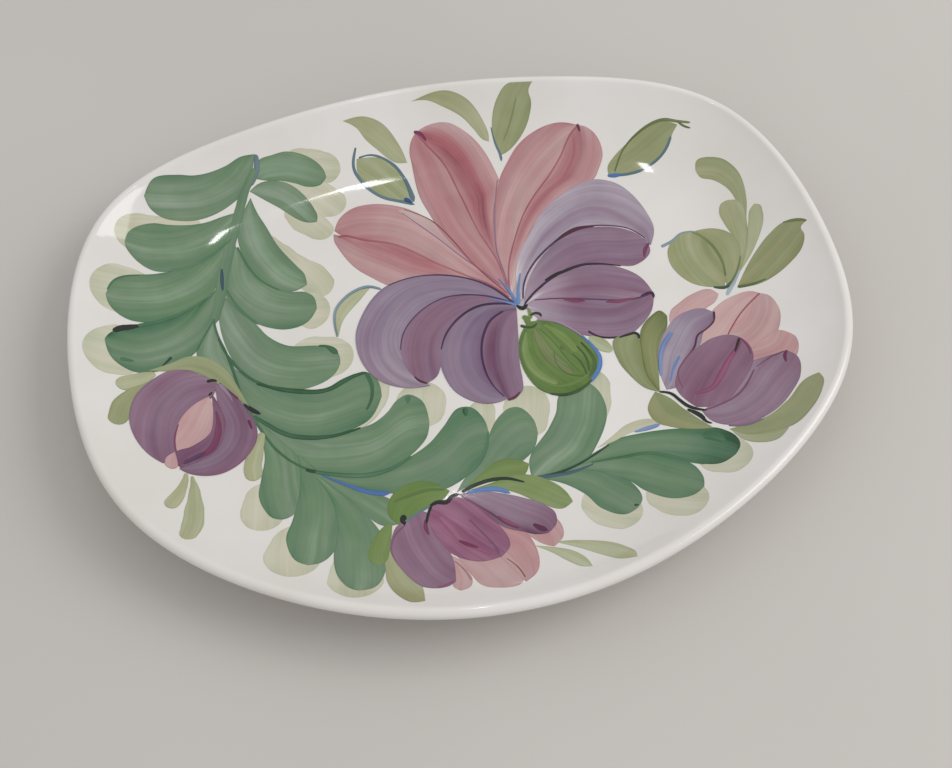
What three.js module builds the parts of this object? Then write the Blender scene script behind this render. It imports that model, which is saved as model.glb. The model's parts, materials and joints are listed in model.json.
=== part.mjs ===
// A free-form oval serving plate of glazed earthenware, in millimetres, +Z up.
// The origin is on the table, under the middle of the plate; +X runs along its length.
//
// The plate is drawn as a round one, a cross-section turned about its axis, and then every point is moved
// from the circle to the plate's own outline. r is always the distance from the axis on that round plate.
import * as THREE from "three";

// Driving dimensions
const RIM_HEIGHT = 30; // table to the top of the lip
const LIP_RADIUS = 2.6; // half of the rounded lip's thickness
const FLOOR_TOP = 9.5; // table to the flat floor of the dish
const FLOOR_EDGE = 86; // r where the floor starts to curve up
const FLOOR_UNDER = 3.2; // table to the underside inside the foot ring
const GLAZE = 0.5; // thickness of the glaze
const GAP = 0.1; // between a glaze skin and the clay, and between one skin and the next

// The outline: control points of a closed cubic B-spline, and the radius of the circle that stands for it.
const OUTLINE = [
  [172, -31], [170, 41], [133, 132], [47, 139], [-31, 132], [-112, 101],
  [-177, 58], [-165, -45], [-130, -107], [-44, -140], [38, -136], [107, -100],
];
const ROUND = 150;
const EVEN_BAND = 6; // the lip's band, which keeps an even width round the outline

// The foot ring
const FOOT_OUTER = 93; // r of its outer side where it meets the table
const FOOT_INNER = 87; // r of its inner side
const FOOT_DRAFT = 1.2; // how much wider it is at its root, on each side
const GLAZE_LINE = 1.2; // height above the table where the glaze is wiped off
const FOOT_EDGE = 0.7; // its rounded bottom edges

// Facets
const AROUND = 60; // facets round the outline
const WALL_STEPS = 4; // steps up the dish's curved wall
const LIP_STEPS = 3; // steps round each half of the lip
const WALL_ANGLE = THREE.MathUtils.degToRad(38); // slope of the wall where it runs into the lip

// ---- The outline ----------------------------------------------------------------------------------------

// The spline's point, and its outward normal, at t from 0 to 1 round the plate.
function outlineAt(t) {
  const n = OUTLINE.length;
  const place = ((t % 1) + 1) % 1 * n;
  const span = Math.floor(place);
  const f = place - span;
  const weights = [(1 - f) ** 3, 3 * f ** 3 - 6 * f ** 2 + 4, -3 * f ** 3 + 3 * f ** 2 + 3 * f + 1, f ** 3];
  const slopes = [-((1 - f) ** 2), 3 * f ** 2 - 4 * f, -3 * f ** 2 + 2 * f + 1, f ** 2];
  const point = new THREE.Vector2();
  const tangent = new THREE.Vector2();
  for (let k = 0; k < 4; k++) {
    const control = new THREE.Vector2(...OUTLINE[(span - 1 + k + n) % n]);
    point.addScaledVector(control, weights[k] / 6);
    tangent.addScaledVector(control, slopes[k]);
  }
  tangent.normalize();
  return { point, normal: new THREE.Vector2(tangent.y, -tangent.x) };
}

// Where a point of the round plate, at distance r from its axis, lies on the real plate.
function toOutline(t, r) {
  const { point, normal } = outlineAt(t);
  const inset = Math.min(ROUND - r, EVEN_BAND);
  const share = Math.min(r / (ROUND - EVEN_BAND), 1);
  return point.addScaledVector(normal, -inset).multiplyScalar(share);
}

// ---- Cross-section lines --------------------------------------------------------------------------------
// Each is a list of { r, z, nr, nz }: a point of the finished surface and its outward normal.

// Part of the lip's circle, between two angles above the horizontal.
function lipArc(from, to, steps) {
  const points = [];
  for (let i = 0; i <= steps; i++) {
    const a = from + ((to - from) * i) / steps;
    const nr = Math.cos(a);
    const nz = Math.sin(a);
    points.push({
      r: ROUND - LIP_RADIUS + LIP_RADIUS * nr,
      z: RIM_HEIGHT - LIP_RADIUS + LIP_RADIUS * nz,
      nr,
      nz,
    });
  }
  return points;
}

// A wall that leaves a level line at (r0, z0) and reaches the point top at the wall's angle. side is 1 for
// the dish's face, whose normal looks up, and -1 for the back.
function wallCurve(r0, z0, top, side) {
  const run = top.r - r0;
  const rise = top.z - z0;
  const power = (Math.tan(WALL_ANGLE) * run) / rise;
  const points = [];
  for (let i = 0; i < WALL_STEPS; i++) {
    const share = i / WALL_STEPS;
    const slope = ((power * rise) / run) * share ** (power - 1);
    const length = Math.hypot(slope, 1);
    points.push({
      r: r0 + run * share,
      z: z0 + rise * share ** power,
      nr: (-side * slope) / length,
      nz: side / length,
    });
  }
  return points;
}

// Small angle that leaves the gap between the two skins on the lip.
const SEAM = GAP / 2 / LIP_RADIUS;

// The face, from the axis out over the floor, up the wall and over the lip to its widest line.
function faceLine() {
  const lip = lipArc(Math.PI / 2 + WALL_ANGLE, SEAM, 2 * LIP_STEPS);
  return [{ r: 0, z: FLOOR_TOP, nr: 0, nz: 1 }, ...wallCurve(FLOOR_EDGE, FLOOR_TOP, lip[0], 1), ...lip];
}

// The back, from the lip's widest line down the outer wall to the glaze line on the foot ring.
function backLine() {
  const root = FOOT_OUTER + FOOT_DRAFT;
  const lip = lipArc(-SEAM, WALL_ANGLE - Math.PI / 2, LIP_STEPS);
  const wall = wallCurve(root, FLOOR_UNDER + GLAZE, lip[lip.length - 1], -1).reverse();
  wall[wall.length - 1].nr = Math.SQRT1_2;
  wall[wall.length - 1].nz = -Math.SQRT1_2;
  return [...lip, ...wall, { r: FOOT_OUTER + GLAZE, z: GLAZE_LINE, nr: 1, nz: 0 }];
}

// The recess inside the foot ring, from the glaze line on its inner side to the axis.
function recessLine() {
  return [
    { r: FOOT_INNER - GLAZE, z: GLAZE_LINE, nr: -1, nz: 0 },
    { r: FOOT_INNER - FOOT_DRAFT, z: FLOOR_UNDER, nr: -Math.SQRT1_2, nz: -Math.SQRT1_2 },
    { r: 0, z: FLOOR_UNDER, nr: 0, nz: -1 },
  ];
}

// The line sunk by depth below the finished surface, as THREE.Vector2 (r, z).
function sunk(line, depth) {
  return line.map((p) => new THREE.Vector2(Math.max(p.r - p.nr * depth, 0), p.z - p.nz * depth));
}

// ---- Solids ---------------------------------------------------------------------------------------------

// Turns a cross-section into a round solid and moves it onto the outline.
function turned(profile) {
  const geometry = new THREE.LatheGeometry(profile, AROUND);
  geometry.rotateX(Math.PI / 2); // the lathe's axis is +Y
  const position = geometry.attributes.position;
  for (let i = 0; i < position.count; i++) {
    const x = position.getX(i);
    const y = position.getY(i);
    const t = Math.round((Math.atan2(y, x) / (2 * Math.PI)) * AROUND) / AROUND;
    const moved = toOutline(t, Math.hypot(x, y));
    position.setXY(i, moved.x, moved.y);
  }
  geometry.computeVertexNormals();
  return geometry;
}

// A skin of glaze along a line: its outer surface, and back along its inner one.
function skin(line) {
  return [...sunk(line, 0), ...sunk(line, GLAZE).reverse()];
}

// The fired clay: what is left inside the skins, with the bare foot ring.
function clayProfile() {
  const depth = GLAZE + GAP;
  const foot = [
    new THREE.Vector2(FOOT_OUTER, FOOT_EDGE),
    new THREE.Vector2(FOOT_OUTER - FOOT_EDGE, 0),
    new THREE.Vector2(FOOT_INNER + FOOT_EDGE, 0),
    new THREE.Vector2(FOOT_INNER, FOOT_EDGE),
  ];
  return [...sunk(faceLine(), depth), ...sunk(backLine(), depth), ...foot, ...sunk(recessLine(), depth)];
}

// ---- Materials ------------------------------------------------------------------------------------------

function whiteGlaze() {
  return new THREE.MeshStandardMaterial({ color: 0xe6e3dc, roughness: 0.1, metalness: 0 });
}

function firedClay() {
  return new THREE.MeshStandardMaterial({ color: 0xd8c9b0, roughness: 0.85, metalness: 0 });
}

// ---- The plate ------------------------------------------------------------------------------------------

function piece(name, loop, material) {
  const mesh = new THREE.Mesh(turned([...loop, loop[0].clone()].reverse()), material);
  mesh.name = name;
  return mesh;
}

const plate = new THREE.Group();
plate.add(
  piece("clay_body", clayProfile(), firedClay()),
  piece("face_glaze", skin(faceLine()), whiteGlaze()),
  piece("back_glaze", skin(backLine()), whiteGlaze()),
  piece("foot_recess_glaze", skin(recessLine()), whiteGlaze()),
);

export default plate;
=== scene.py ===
"""A free-form serving plate of white glazed earthenware, painted by hand with flowers and fern leaves.

The plate is a turned cross-section moved onto a free-form outline, as the CAD part is, but with a fine mesh.
Each brush stroke of the painting is a thin piece of its own that follows the plate's face.
Shapes are worked out in millimetres and turned into metres when a mesh is made.
"""

import json
import math

import bpy
import numpy as np
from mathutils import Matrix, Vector

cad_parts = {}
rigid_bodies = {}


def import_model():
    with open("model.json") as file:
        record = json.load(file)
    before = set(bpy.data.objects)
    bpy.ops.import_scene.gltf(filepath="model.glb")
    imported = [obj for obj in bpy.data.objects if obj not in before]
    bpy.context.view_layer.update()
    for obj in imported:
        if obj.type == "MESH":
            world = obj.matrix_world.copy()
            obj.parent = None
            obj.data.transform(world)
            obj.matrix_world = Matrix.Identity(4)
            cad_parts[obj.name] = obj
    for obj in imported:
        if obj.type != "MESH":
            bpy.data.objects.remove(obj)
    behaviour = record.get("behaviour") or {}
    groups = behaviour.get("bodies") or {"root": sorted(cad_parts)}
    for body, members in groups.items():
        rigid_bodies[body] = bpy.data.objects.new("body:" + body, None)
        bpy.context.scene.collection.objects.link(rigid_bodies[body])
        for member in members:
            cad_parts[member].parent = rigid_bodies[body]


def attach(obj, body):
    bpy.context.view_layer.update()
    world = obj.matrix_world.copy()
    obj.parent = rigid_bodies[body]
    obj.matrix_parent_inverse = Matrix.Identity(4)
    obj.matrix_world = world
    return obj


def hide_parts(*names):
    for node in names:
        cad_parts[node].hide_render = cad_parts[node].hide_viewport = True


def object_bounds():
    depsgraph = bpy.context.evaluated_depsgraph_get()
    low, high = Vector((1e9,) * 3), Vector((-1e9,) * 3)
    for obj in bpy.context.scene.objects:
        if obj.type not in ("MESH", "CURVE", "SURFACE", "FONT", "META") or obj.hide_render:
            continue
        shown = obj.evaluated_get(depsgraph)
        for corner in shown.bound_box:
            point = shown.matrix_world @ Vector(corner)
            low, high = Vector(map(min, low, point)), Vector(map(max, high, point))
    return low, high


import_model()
cad_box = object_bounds()
MM = 0.001

# ---- Camera ---------------------------------------------------------------------------------------------

CAMERA_TARGET = Vector((6.8, -18.6, 0.0))
CAMERA_DISTANCE = 560.0
CAMERA_ELEVATION = math.radians(60)
CAMERA_LENS = 48.0


def add_camera():
    """The camera looks along +Y and down at the dish."""
    away = Vector((0, -math.cos(CAMERA_ELEVATION), math.sin(CAMERA_ELEVATION)))
    data = bpy.data.cameras.new("camera")
    data.lens = CAMERA_LENS
    camera = bpy.data.objects.new("camera", data)
    camera.location = (CAMERA_TARGET + away * CAMERA_DISTANCE) * MM
    camera.rotation_euler = (-away).to_track_quat("-Z", "Y").to_euler()
    bpy.context.scene.collection.objects.link(camera)
    bpy.context.scene.camera = camera


add_camera()

# ---- The plate's shape, in millimetres ------------------------------------------------------------------
# The driving dimensions are those of the CAD part, which stands for the round plate's radii by r.

RIM_HEIGHT = (Vector(cad_box[1]) / MM).z
LIP_RADIUS = 2.6
FLOOR_TOP = 9.5
FLOOR_EDGE = 86.0
FLOOR_UNDER = 3.2
GLAZE = 0.5
GAP = 0.1
OUTLINE = [
    (172, -31), (170, 41), (133, 132), (47, 139), (-31, 132), (-112, 101),
    (-177, 58), (-165, -45), (-130, -107), (-44, -140), (38, -136), (107, -100),
]  # fmt: skip
ROUND = 150.0
EVEN_BAND = 6.0
FOOT_OUTER = 93.0
FOOT_INNER = 87.0
FOOT_DRAFT = 1.2
FOOT_EDGE = 0.7
GLAZE_LINE = 1.2
WALL_ANGLE = math.radians(38)

AROUND = 480  # facets round the outline
STEP = 1.2  # length of the facets along the cross-section
ARC_STEP = 0.35  # length of the facets along its arcs
LEAST_ARC_POINTS = 6
RAY_COUNT = 2000  # directions from the axis in which the outline's distance is known


def outline_at(t):
    """Points and outward normals of the closed B-spline through OUTLINE, for an array t of 0 to 1."""
    controls = np.array(OUTLINE, float)
    place = np.mod(t, 1.0) * len(controls)
    span = np.floor(place).astype(int)
    f = place - span
    weights = [(1 - f) ** 3, 3 * f**3 - 6 * f**2 + 4, -3 * f**3 + 3 * f**2 + 3 * f + 1, f**3]
    slopes = [-((1 - f) ** 2), 3 * f**2 - 4 * f, -3 * f**2 + 2 * f + 1, f**2]
    near = [controls[(span - 1 + k) % len(controls)] for k in range(4)]
    point = sum(n * w[..., None] for n, w in zip(near, weights)) / 6
    tangent = sum(n * s[..., None] for n, s in zip(near, slopes))
    tangent /= np.linalg.norm(tangent, axis=-1, keepdims=True)
    return point, np.stack([tangent[..., 1], -tangent[..., 0]], -1)


def to_outline(t, r):
    """Where the points of the round plate at distance r from its axis lie on the real plate."""
    point, normal = outline_at(t)
    inset = np.minimum(ROUND - r, EVEN_BAND)[..., None]
    share = np.minimum(r / (ROUND - EVEN_BAND), 1.0)[..., None]
    return (point - normal * inset) * share


RAY_T = np.linspace(0, 1, RAY_COUNT, endpoint=False)
RAY_POINTS = to_outline(RAY_T, np.full(RAY_COUNT, ROUND - EVEN_BAND))
RAY_ANGLES = np.unwrap(np.arctan2(RAY_POINTS[:, 1], RAY_POINTS[:, 0]))


def round_radius(x, y):
    """r of points on the real plate's dish, inside the lip."""
    angle = np.mod(np.arctan2(y, x) - RAY_ANGLES[0], 2 * math.pi) + RAY_ANGLES[0]
    reach = np.interp(angle, RAY_ANGLES, np.linalg.norm(RAY_POINTS, axis=1), period=2 * math.pi)
    return np.hypot(x, y) / reach * (ROUND - EVEN_BAND)


LIP_START = math.pi / 2 + WALL_ANGLE
WALL_END_R = ROUND - LIP_RADIUS + LIP_RADIUS * math.cos(LIP_START)
WALL_END_Z = RIM_HEIGHT - LIP_RADIUS + LIP_RADIUS * math.sin(LIP_START)


def wall_height(r, r0, z0, r1, z1):
    """Height of a wall that leaves a level line at (r0, z0) and reaches (r1, z1) at the wall's angle."""
    power = math.tan(WALL_ANGLE) * (r1 - r0) / (z1 - z0)
    return z0 + (z1 - z0) * np.clip((r - r0) / (r1 - r0), 0, 1) ** power


WAVE_FADE = (118.0, 140.0)  # r between which the unevenness dies out towards the lip
SLOW_WAVE = 0.13  # how high its long waves and its short waves are
QUICK_WAVE = 0.05


def waviness(x, y, r):
    """The slow unevenness of a plate pressed and glazed by hand, up to about 0.2 mm."""
    slow = np.sin(x / 31 + 0.7) * np.cos(y / 27 - 0.4)
    quick = np.sin(x / 13 + y / 17 + 2.0) * np.cos(y / 12 - x / 21)
    fade = np.clip((WAVE_FADE[1] - r) / (WAVE_FADE[1] - WAVE_FADE[0]), 0, 1)
    return (SLOW_WAVE * slow + QUICK_WAVE * quick) * fade


def face_height(x, y):
    """Height of the glazed face at a point of the dish."""
    r = round_radius(x, y)
    level = wall_height(r, FLOOR_EDGE, FLOOR_TOP, WALL_END_R, WALL_END_Z)
    return level + waviness(x, y, r)


# ---- Cross-section lines --------------------------------------------------------------------------------
# Each is an array of rows r, z, nr, nz: points of the finished surface and their outward normals.


def arc_line(centre_r, centre_z, radius, start, end):
    """Part of a circle, between two angles above the horizontal."""
    steps = max(LEAST_ARC_POINTS, int(radius * abs(end - start) / ARC_STEP))
    a = np.linspace(start, end, steps)
    return np.stack([centre_r + radius * np.cos(a), centre_z + radius * np.sin(a), np.cos(a), np.sin(a)], 1)


def wall_line(r0, z0, r1, z1, side):
    """A curved wall. side is 1 for the dish's face, whose normal looks up, and -1 for the back."""
    r = np.linspace(r0, r1, int((r1 - r0) / STEP))
    z = wall_height(r, r0, z0, r1, z1)
    slope = np.gradient(z, r)
    length = np.hypot(slope, 1)
    return np.stack([r, z, -side * slope / length, side / length], 1)


def level_line(r0, r1, z, side):
    """A level stretch between two radii."""
    r = np.linspace(r0, r1, max(3, int(abs(r1 - r0) / STEP / 2)))
    return np.stack([r, np.full_like(r, z), np.zeros_like(r), np.full_like(r, side)], 1)


LIP_CENTRE = (ROUND - LIP_RADIUS, RIM_HEIGHT - LIP_RADIUS)


def face_line():
    """From the axis out over the floor, up the wall and over the lip to its widest line."""
    floor = level_line(0, FLOOR_EDGE, FLOOR_TOP, 1)
    wall = wall_line(FLOOR_EDGE, FLOOR_TOP, WALL_END_R, WALL_END_Z, 1)
    lip = arc_line(*LIP_CENTRE, LIP_RADIUS, LIP_START, 0)
    return np.concatenate([floor[:-1], wall, lip[1:]])


def back_line():
    """From under the lip down the outer wall to the glaze line on the foot ring."""
    root = FOOT_OUTER + FOOT_DRAFT
    lip = arc_line(*LIP_CENTRE, LIP_RADIUS, 0, WALL_ANGLE - math.pi / 2)
    end_r, end_z = lip[-1][:2]
    wall = wall_line(root, FLOOR_UNDER + GLAZE, end_r, end_z, -1)[::-1]
    wall[-1, 2:] = math.sqrt(0.5), -math.sqrt(0.5)
    return np.concatenate([lip[1:], wall[1:], [(FOOT_OUTER + GLAZE, GLAZE_LINE, 1, 0)]])


def foot_line():
    """Round the bare bottom of the foot ring, from its outer side to its inner side."""
    outer = arc_line(FOOT_OUTER - FOOT_EDGE, FOOT_EDGE, FOOT_EDGE, 0, -math.pi / 2)
    inner = arc_line(FOOT_INNER + FOOT_EDGE, FOOT_EDGE, FOOT_EDGE, -math.pi / 2, -math.pi)
    return np.concatenate([outer, inner])


def recess_line():
    """From the glaze line on the foot ring's inner side to the axis."""
    corner = (FOOT_INNER - FOOT_DRAFT, FLOOR_UNDER, -math.sqrt(0.5), -math.sqrt(0.5))
    floor = level_line(FOOT_INNER - FOOT_DRAFT - STEP, 0, FLOOR_UNDER, -1)
    return np.concatenate([[(FOOT_INNER - GLAZE, GLAZE_LINE, -1, 0), corner], floor])


def sunk(line, depth):
    """The line moved depth into the body, as rows r, z."""
    moved = line[:, :2] - line[:, 2:] * depth
    moved[:, 0] = np.maximum(moved[:, 0], 0)
    return moved


def clay_profile():
    """The clay's closed section, which lies a small gap under the glaze."""
    depth = GLAZE + GAP
    skin = np.concatenate([sunk(face_line(), depth), sunk(back_line(), depth)])
    return np.concatenate([skin, foot_line()[:, :2], sunk(recess_line(), depth)])


def glaze_profile():
    """The section of the glaze on the face and the back, as one coat."""
    surface = np.concatenate([face_line(), back_line()])
    return np.concatenate([sunk(surface, 0), sunk(surface, GLAZE)[::-1]])


def recess_profile():
    """The section of the glaze inside the foot ring."""
    return np.concatenate([sunk(recess_line(), GLAZE)[::-1], sunk(recess_line(), 0)])


# ---- Meshes ---------------------------------------------------------------------------------------------

SHARP_ANGLE = math.radians(40)

def ring_faces(first, second, count):
    """Quads between two closed rings of vertices that start at the given numbers."""
    near = np.arange(count)
    far = (near + 1) % count
    return np.stack([first + near, second + near, second + far, first + far], 1).tolist()


def fan_faces(pole, ring, count, flip):
    """Triangles between a pole and a ring."""
    near = np.arange(count)
    far = (near + 1) % count
    corners = [np.full(count, pole), ring + near, ring + far]
    if flip:
        corners.reverse()
    return np.stack(corners, 1).tolist()


def make_piece(name, points, faces, material):
    """A mesh of points in millimetres, smooth but for its sharp edges, that rides on the plate."""
    mesh = bpy.data.meshes.new(name)
    mesh.from_pydata((np.asarray(points) * MM).tolist(), [], faces)
    mesh.polygons.foreach_set("use_smooth", np.ones(len(mesh.polygons), bool))
    mesh.set_sharp_from_angle(angle=SHARP_ANGLE)
    mesh.materials.append(material)
    piece = bpy.data.objects.new(name, mesh)
    bpy.context.scene.collection.objects.link(piece)
    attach(piece, "root")
    return piece


def unevenness(x, y, r, z):
    """How much a point of the cross-section moves up: all the waviness at the face, none at the foot."""
    raised = (z - FLOOR_UNDER - GLAZE) / (FLOOR_TOP - FLOOR_UNDER - 2 * GLAZE)
    return waviness(x, y, r) * min(max(raised, 0), 1)


def turned_piece(name, profile, material):
    """Turns a closed cross-section that starts and ends on the axis, and moves it onto the outline."""
    t = np.arange(AROUND) / AROUND
    start_z, end_z = profile[0, 1], profile[-1, 1]
    rings = profile[1:-1]
    points = [(0.0, 0.0, start_z + unevenness(0, 0, 0, start_z))]
    for r, z in rings:
        place = to_outline(t, np.full(AROUND, r))
        points.extend(np.column_stack([place, z + unevenness(place[:, 0], place[:, 1], r, z)]))
    points.append((0.0, 0.0, end_z + unevenness(0, 0, 0, end_z)))
    last_ring = 1 + (len(rings) - 1) * AROUND
    faces = fan_faces(0, 1, AROUND, False)
    for first in range(1, last_ring, AROUND):
        faces += ring_faces(first, first + AROUND, AROUND)
    faces += fan_faces(len(points) - 1, last_ring, AROUND, True)
    return make_piece(name, points, faces, material)


# ---- Materials ------------------------------------------------------------------------------------------
# Colours are written as they look in soft light, red, green and blue up to 255.

LIGHT_LEVEL = 0.92  # about what this scene's light multiplies a surface's colour by
GLOSS_LEVEL = 0.02  # about what the gloss adds to every colour
LEAST_COLOUR = 0.004
GLAZE_IOR = 1.52
CLAY_IOR = 1.45


def seen(*rgb):
    """The linear surface colour that looks about like the sRGB colour rgb in this scene's light."""
    linear = [c / 255 / 12.92 if c < 10 else ((c / 255 + 0.055) / 1.055) ** 2.4 for c in rgb]
    return (*(max((c - GLOSS_LEVEL) / LIGHT_LEVEL, LEAST_COLOUR) for c in linear), 1)


def start_material(name):
    """A material with an empty node tree."""
    material = bpy.data.materials.new(name)
    material.use_nodes = True
    material.node_tree.nodes.clear()
    return material


def add_node(tree, kind, inputs=None, **settings):
    """A node with its settings, whose inputs are linked to sockets or set to values."""
    made = tree.nodes.new("ShaderNode" + kind)
    for key, value in settings.items():
        setattr(made, key, value)
    for key, value in (inputs or {}).items():
        if isinstance(value, bpy.types.NodeSocket):
            tree.links.new(value, made.inputs[key])
        else:
            made.inputs[key].default_value = value
    return made


def noise(tree, vector, scale, detail=2.0):
    """Smooth noise, whose value is about 0.5 on average."""
    inputs = {"Vector": vector, "Scale": scale, "Detail": detail}
    return add_node(tree, "TexNoise", inputs).outputs["Fac"]


def spread(tree, value, amount):
    """A noise's value, moved to lie between about -amount and amount."""
    inputs = {"Value": value, "From Min": 0.3, "From Max": 0.7, "To Min": -amount, "To Max": amount}
    return add_node(tree, "MapRange", inputs, clamp=False).outputs["Result"]


def total(tree, *values):
    """The sum of sockets and numbers."""
    result = values[0]
    for value in values[1:]:
        result = add_node(tree, "Math", {0: result, 1: value}, operation="ADD").outputs[0]
    return result


def colour_ramp(tree, value, stops):
    """The colour at a value, between stops that are pairs of a place and a colour."""
    ramp = add_node(tree, "ValToRGB", {"Fac": value})
    elements = ramp.color_ramp.elements
    while len(elements) < len(stops):
        elements.new(1.0)
    for element, (place, colour) in zip(elements, stops):
        element.position = place
        element.color = colour
    return ramp.outputs["Color"]


def finish_material(material, inputs):
    """Closes a material with a shader that has the given inputs."""
    tree = material.node_tree
    shader = add_node(tree, "BsdfPrincipled", inputs)
    add_node(tree, "OutputMaterial", {"Surface": shader.outputs[0]})
    return material


WHITE = seen(213, 209, 205)


def glaze_material():
    """White glaze: glossy, a little uneven, with a few dark specks."""
    material = start_material("white_glaze")
    tree = material.node_tree
    place = add_node(tree, "TexCoord").outputs["Object"]
    tint = noise(tree, place, 22.0, 3.0)
    white = colour_ramp(tree, tint, [(0.3, seen(209, 205, 199)), (0.5, WHITE), (0.7, seen(216, 213, 210))])
    cells = add_node(tree, "TexVoronoi", {"Vector": place, "Scale": 75.0, "Randomness": 1.0})
    pick = add_node(tree, "SeparateColor", {"Color": cells.outputs["Color"]}).outputs[0]
    rare = add_node(tree, "Math", {0: pick, 1: 0.93}, operation="GREATER_THAN").outputs[0]
    distance = cells.outputs["Distance"]
    falloff = {"Value": distance, "From Min": 0.012, "From Max": 0.03, "To Min": 0.55, "To Max": 0.0}
    near = add_node(tree, "MapRange", falloff)
    speck = add_node(tree, "Math", {0: rare, 1: near.outputs["Result"]}, operation="MULTIPLY").outputs[0]
    colour = add_node(tree, "Mix", {0: speck, 6: white, 7: seen(120, 105, 92)}, data_type="RGBA").outputs[2]
    patches = noise(tree, place, 60.0)
    roughness = add_node(tree, "MapRange", {"Value": patches, "To Min": 0.03, "To Max": 0.09})
    ripple = noise(tree, place, 110.0, 2.0)
    bump = add_node(tree, "Bump", {"Strength": 0.35, "Distance": 0.0001, "Height": ripple})
    return finish_material(
        material,
        {
            "Base Color": colour,
            "Roughness": roughness.outputs["Result"],
            "Normal": bump.outputs["Normal"],
            "IOR": GLAZE_IOR,
        },
    )


def clay_material():
    """Pale earthenware, matt and finely grained."""
    material = start_material("fired_clay")
    tree = material.node_tree
    place = add_node(tree, "TexCoord").outputs["Object"]
    grain = noise(tree, place, 900.0, 4.0)
    stain = noise(tree, place, 45.0, 3.0)
    mixed = total(tree, spread(tree, grain, 0.3), spread(tree, stain, 0.25), 0.5)
    stops = [(0.0, seen(176, 150, 122)), (0.5, seen(205, 184, 158)), (1.0, seen(222, 206, 184))]
    colour = colour_ramp(tree, mixed, stops)
    roughness = add_node(tree, "MapRange", {"Value": grain, "To Min": 0.7, "To Max": 0.95})
    bump = add_node(tree, "Bump", {"Strength": 0.5, "Distance": 0.0001, "Height": grain})
    return finish_material(
        material,
        {
            "Base Color": colour,
            "Roughness": roughness.outputs["Result"],
            "Normal": bump.outputs["Normal"],
            "IOR": CLAY_IOR,
        },
    )


def paint_material(name, pale, mid, deep, dark, cool=(-7, 3, 3)):
    """Ceramic colour with the faint streaks of the brush's hairs, a little more of it at the stroke's edge.

    cool is what the colour changes by, red, green and blue, where the paint is greyer.
    """
    material = start_material(name)
    tree = material.node_tree
    strength, rim, greyness = (
        add_node(tree, "Attribute", attribute_name=key).outputs["Fac"] for key in ("strength", "rim", "cool")
    )
    flow = add_node(tree, "Attribute", attribute_name="flow").outputs["Vector"]
    fine = add_node(tree, "Mapping", {"Vector": flow, "Scale": (0.014, 0.9, 1)}).outputs["Vector"]
    broad = add_node(tree, "Mapping", {"Vector": flow, "Scale": (0.02, 0.22, 1)}).outputs["Vector"]
    wide = add_node(tree, "Mapping", {"Vector": flow, "Scale": (0.015, 0.13, 1.7)}).outputs["Vector"]
    place = add_node(tree, "TexCoord").outputs["Object"]
    gathered = add_node(tree, "MapRange", {"Value": rim, "From Max": 0.8, "To Min": 0.07, "To Max": 0.0})
    amount = total(
        tree,
        strength,
        spread(tree, noise(tree, fine, 1.0, 3.0), 0.045),
        spread(tree, noise(tree, broad, 1.0, 1.0), 0.065),
        spread(tree, noise(tree, place, 65.0, 2.0), 0.04),
        gathered.outputs["Result"],
    )
    warm_colour, cool_colour = (
        shade_ramp(tree, amount, (pale, mid, deep, dark), shift) for shift in ((0, 0, 0), cool)
    )
    share = total(tree, greyness, spread(tree, noise(tree, wide, 1.0, 1.0), 0.4), 0.35)
    inputs = {0: share, 6: warm_colour, 7: cool_colour}
    colour = add_node(tree, "Mix", inputs, data_type="RGBA", clamp_factor=True).outputs[2]
    return finish_material(material, {"Base Color": colour, "Roughness": 0.06, "IOR": GLAZE_IOR})


def shade_ramp(tree, amount, shades, shift):
    """From bare glaze through four shades of a paint, each with shift added."""
    moved = [seen(*(c + s for c, s in zip(shade, shift))) for shade in shades]
    return colour_ramp(tree, amount, list(zip((0, 0.2, 0.5, 0.8, 1), (WHITE, *moved))))


GREYER = (9, 2, 9)
GLAZE_WHITE = glaze_material()
CLAY = clay_material()
GHOST = paint_material(
    "pale_olive_wash", (206, 202, 190), (191, 187, 167), (164, 166, 136), (128, 134, 94), (-4, 2, 2)
)
FERN = paint_material("fern_green", (148, 166, 146), (105, 130, 101), (72, 110, 80), (18, 76, 48), GREYER)
BUD_GREEN = paint_material("bud_green", (142, 154, 114), (108, 130, 74), (81, 108, 55), (28, 60, 34), GREYER)
OLIVE = paint_material("olive", (178, 179, 150), (147, 148, 111), (118, 124, 82), (72, 84, 46), (-4, 2, 4))
PINK = paint_material("old_rose", (194, 164, 161), (174, 131, 133), (156, 92, 99), (104, 40, 56))
PLUM = paint_material("plum", (162, 140, 154), (134, 106, 124), (110, 70, 94), (56, 20, 44))
LILAC = paint_material("lilac", (172, 160, 170), (138, 119, 136), (110, 86, 112), (62, 34, 64), (-2, 5, 5))
MAROON = paint_material("maroon", (161, 114, 136), (123, 64, 92), (89, 35, 63), (39, 12, 31))
AUBERGINE = paint_material("aubergine", (150, 125, 150), (104, 72, 104), (68, 38, 70), (28, 10, 28))
INK = paint_material("black_green", (120, 130, 124), (62, 80, 66), (34, 50, 40), (10, 16, 16))
SLATE = paint_material("slate_blue", (160, 172, 178), (104, 122, 130), (66, 90, 98), (34, 56, 66))
BLUE = paint_material("blue", (140, 155, 186), (86, 114, 164), (54, 92, 148), (28, 52, 96))


# ---- Brush strokes --------------------------------------------------------------------------------------

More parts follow.
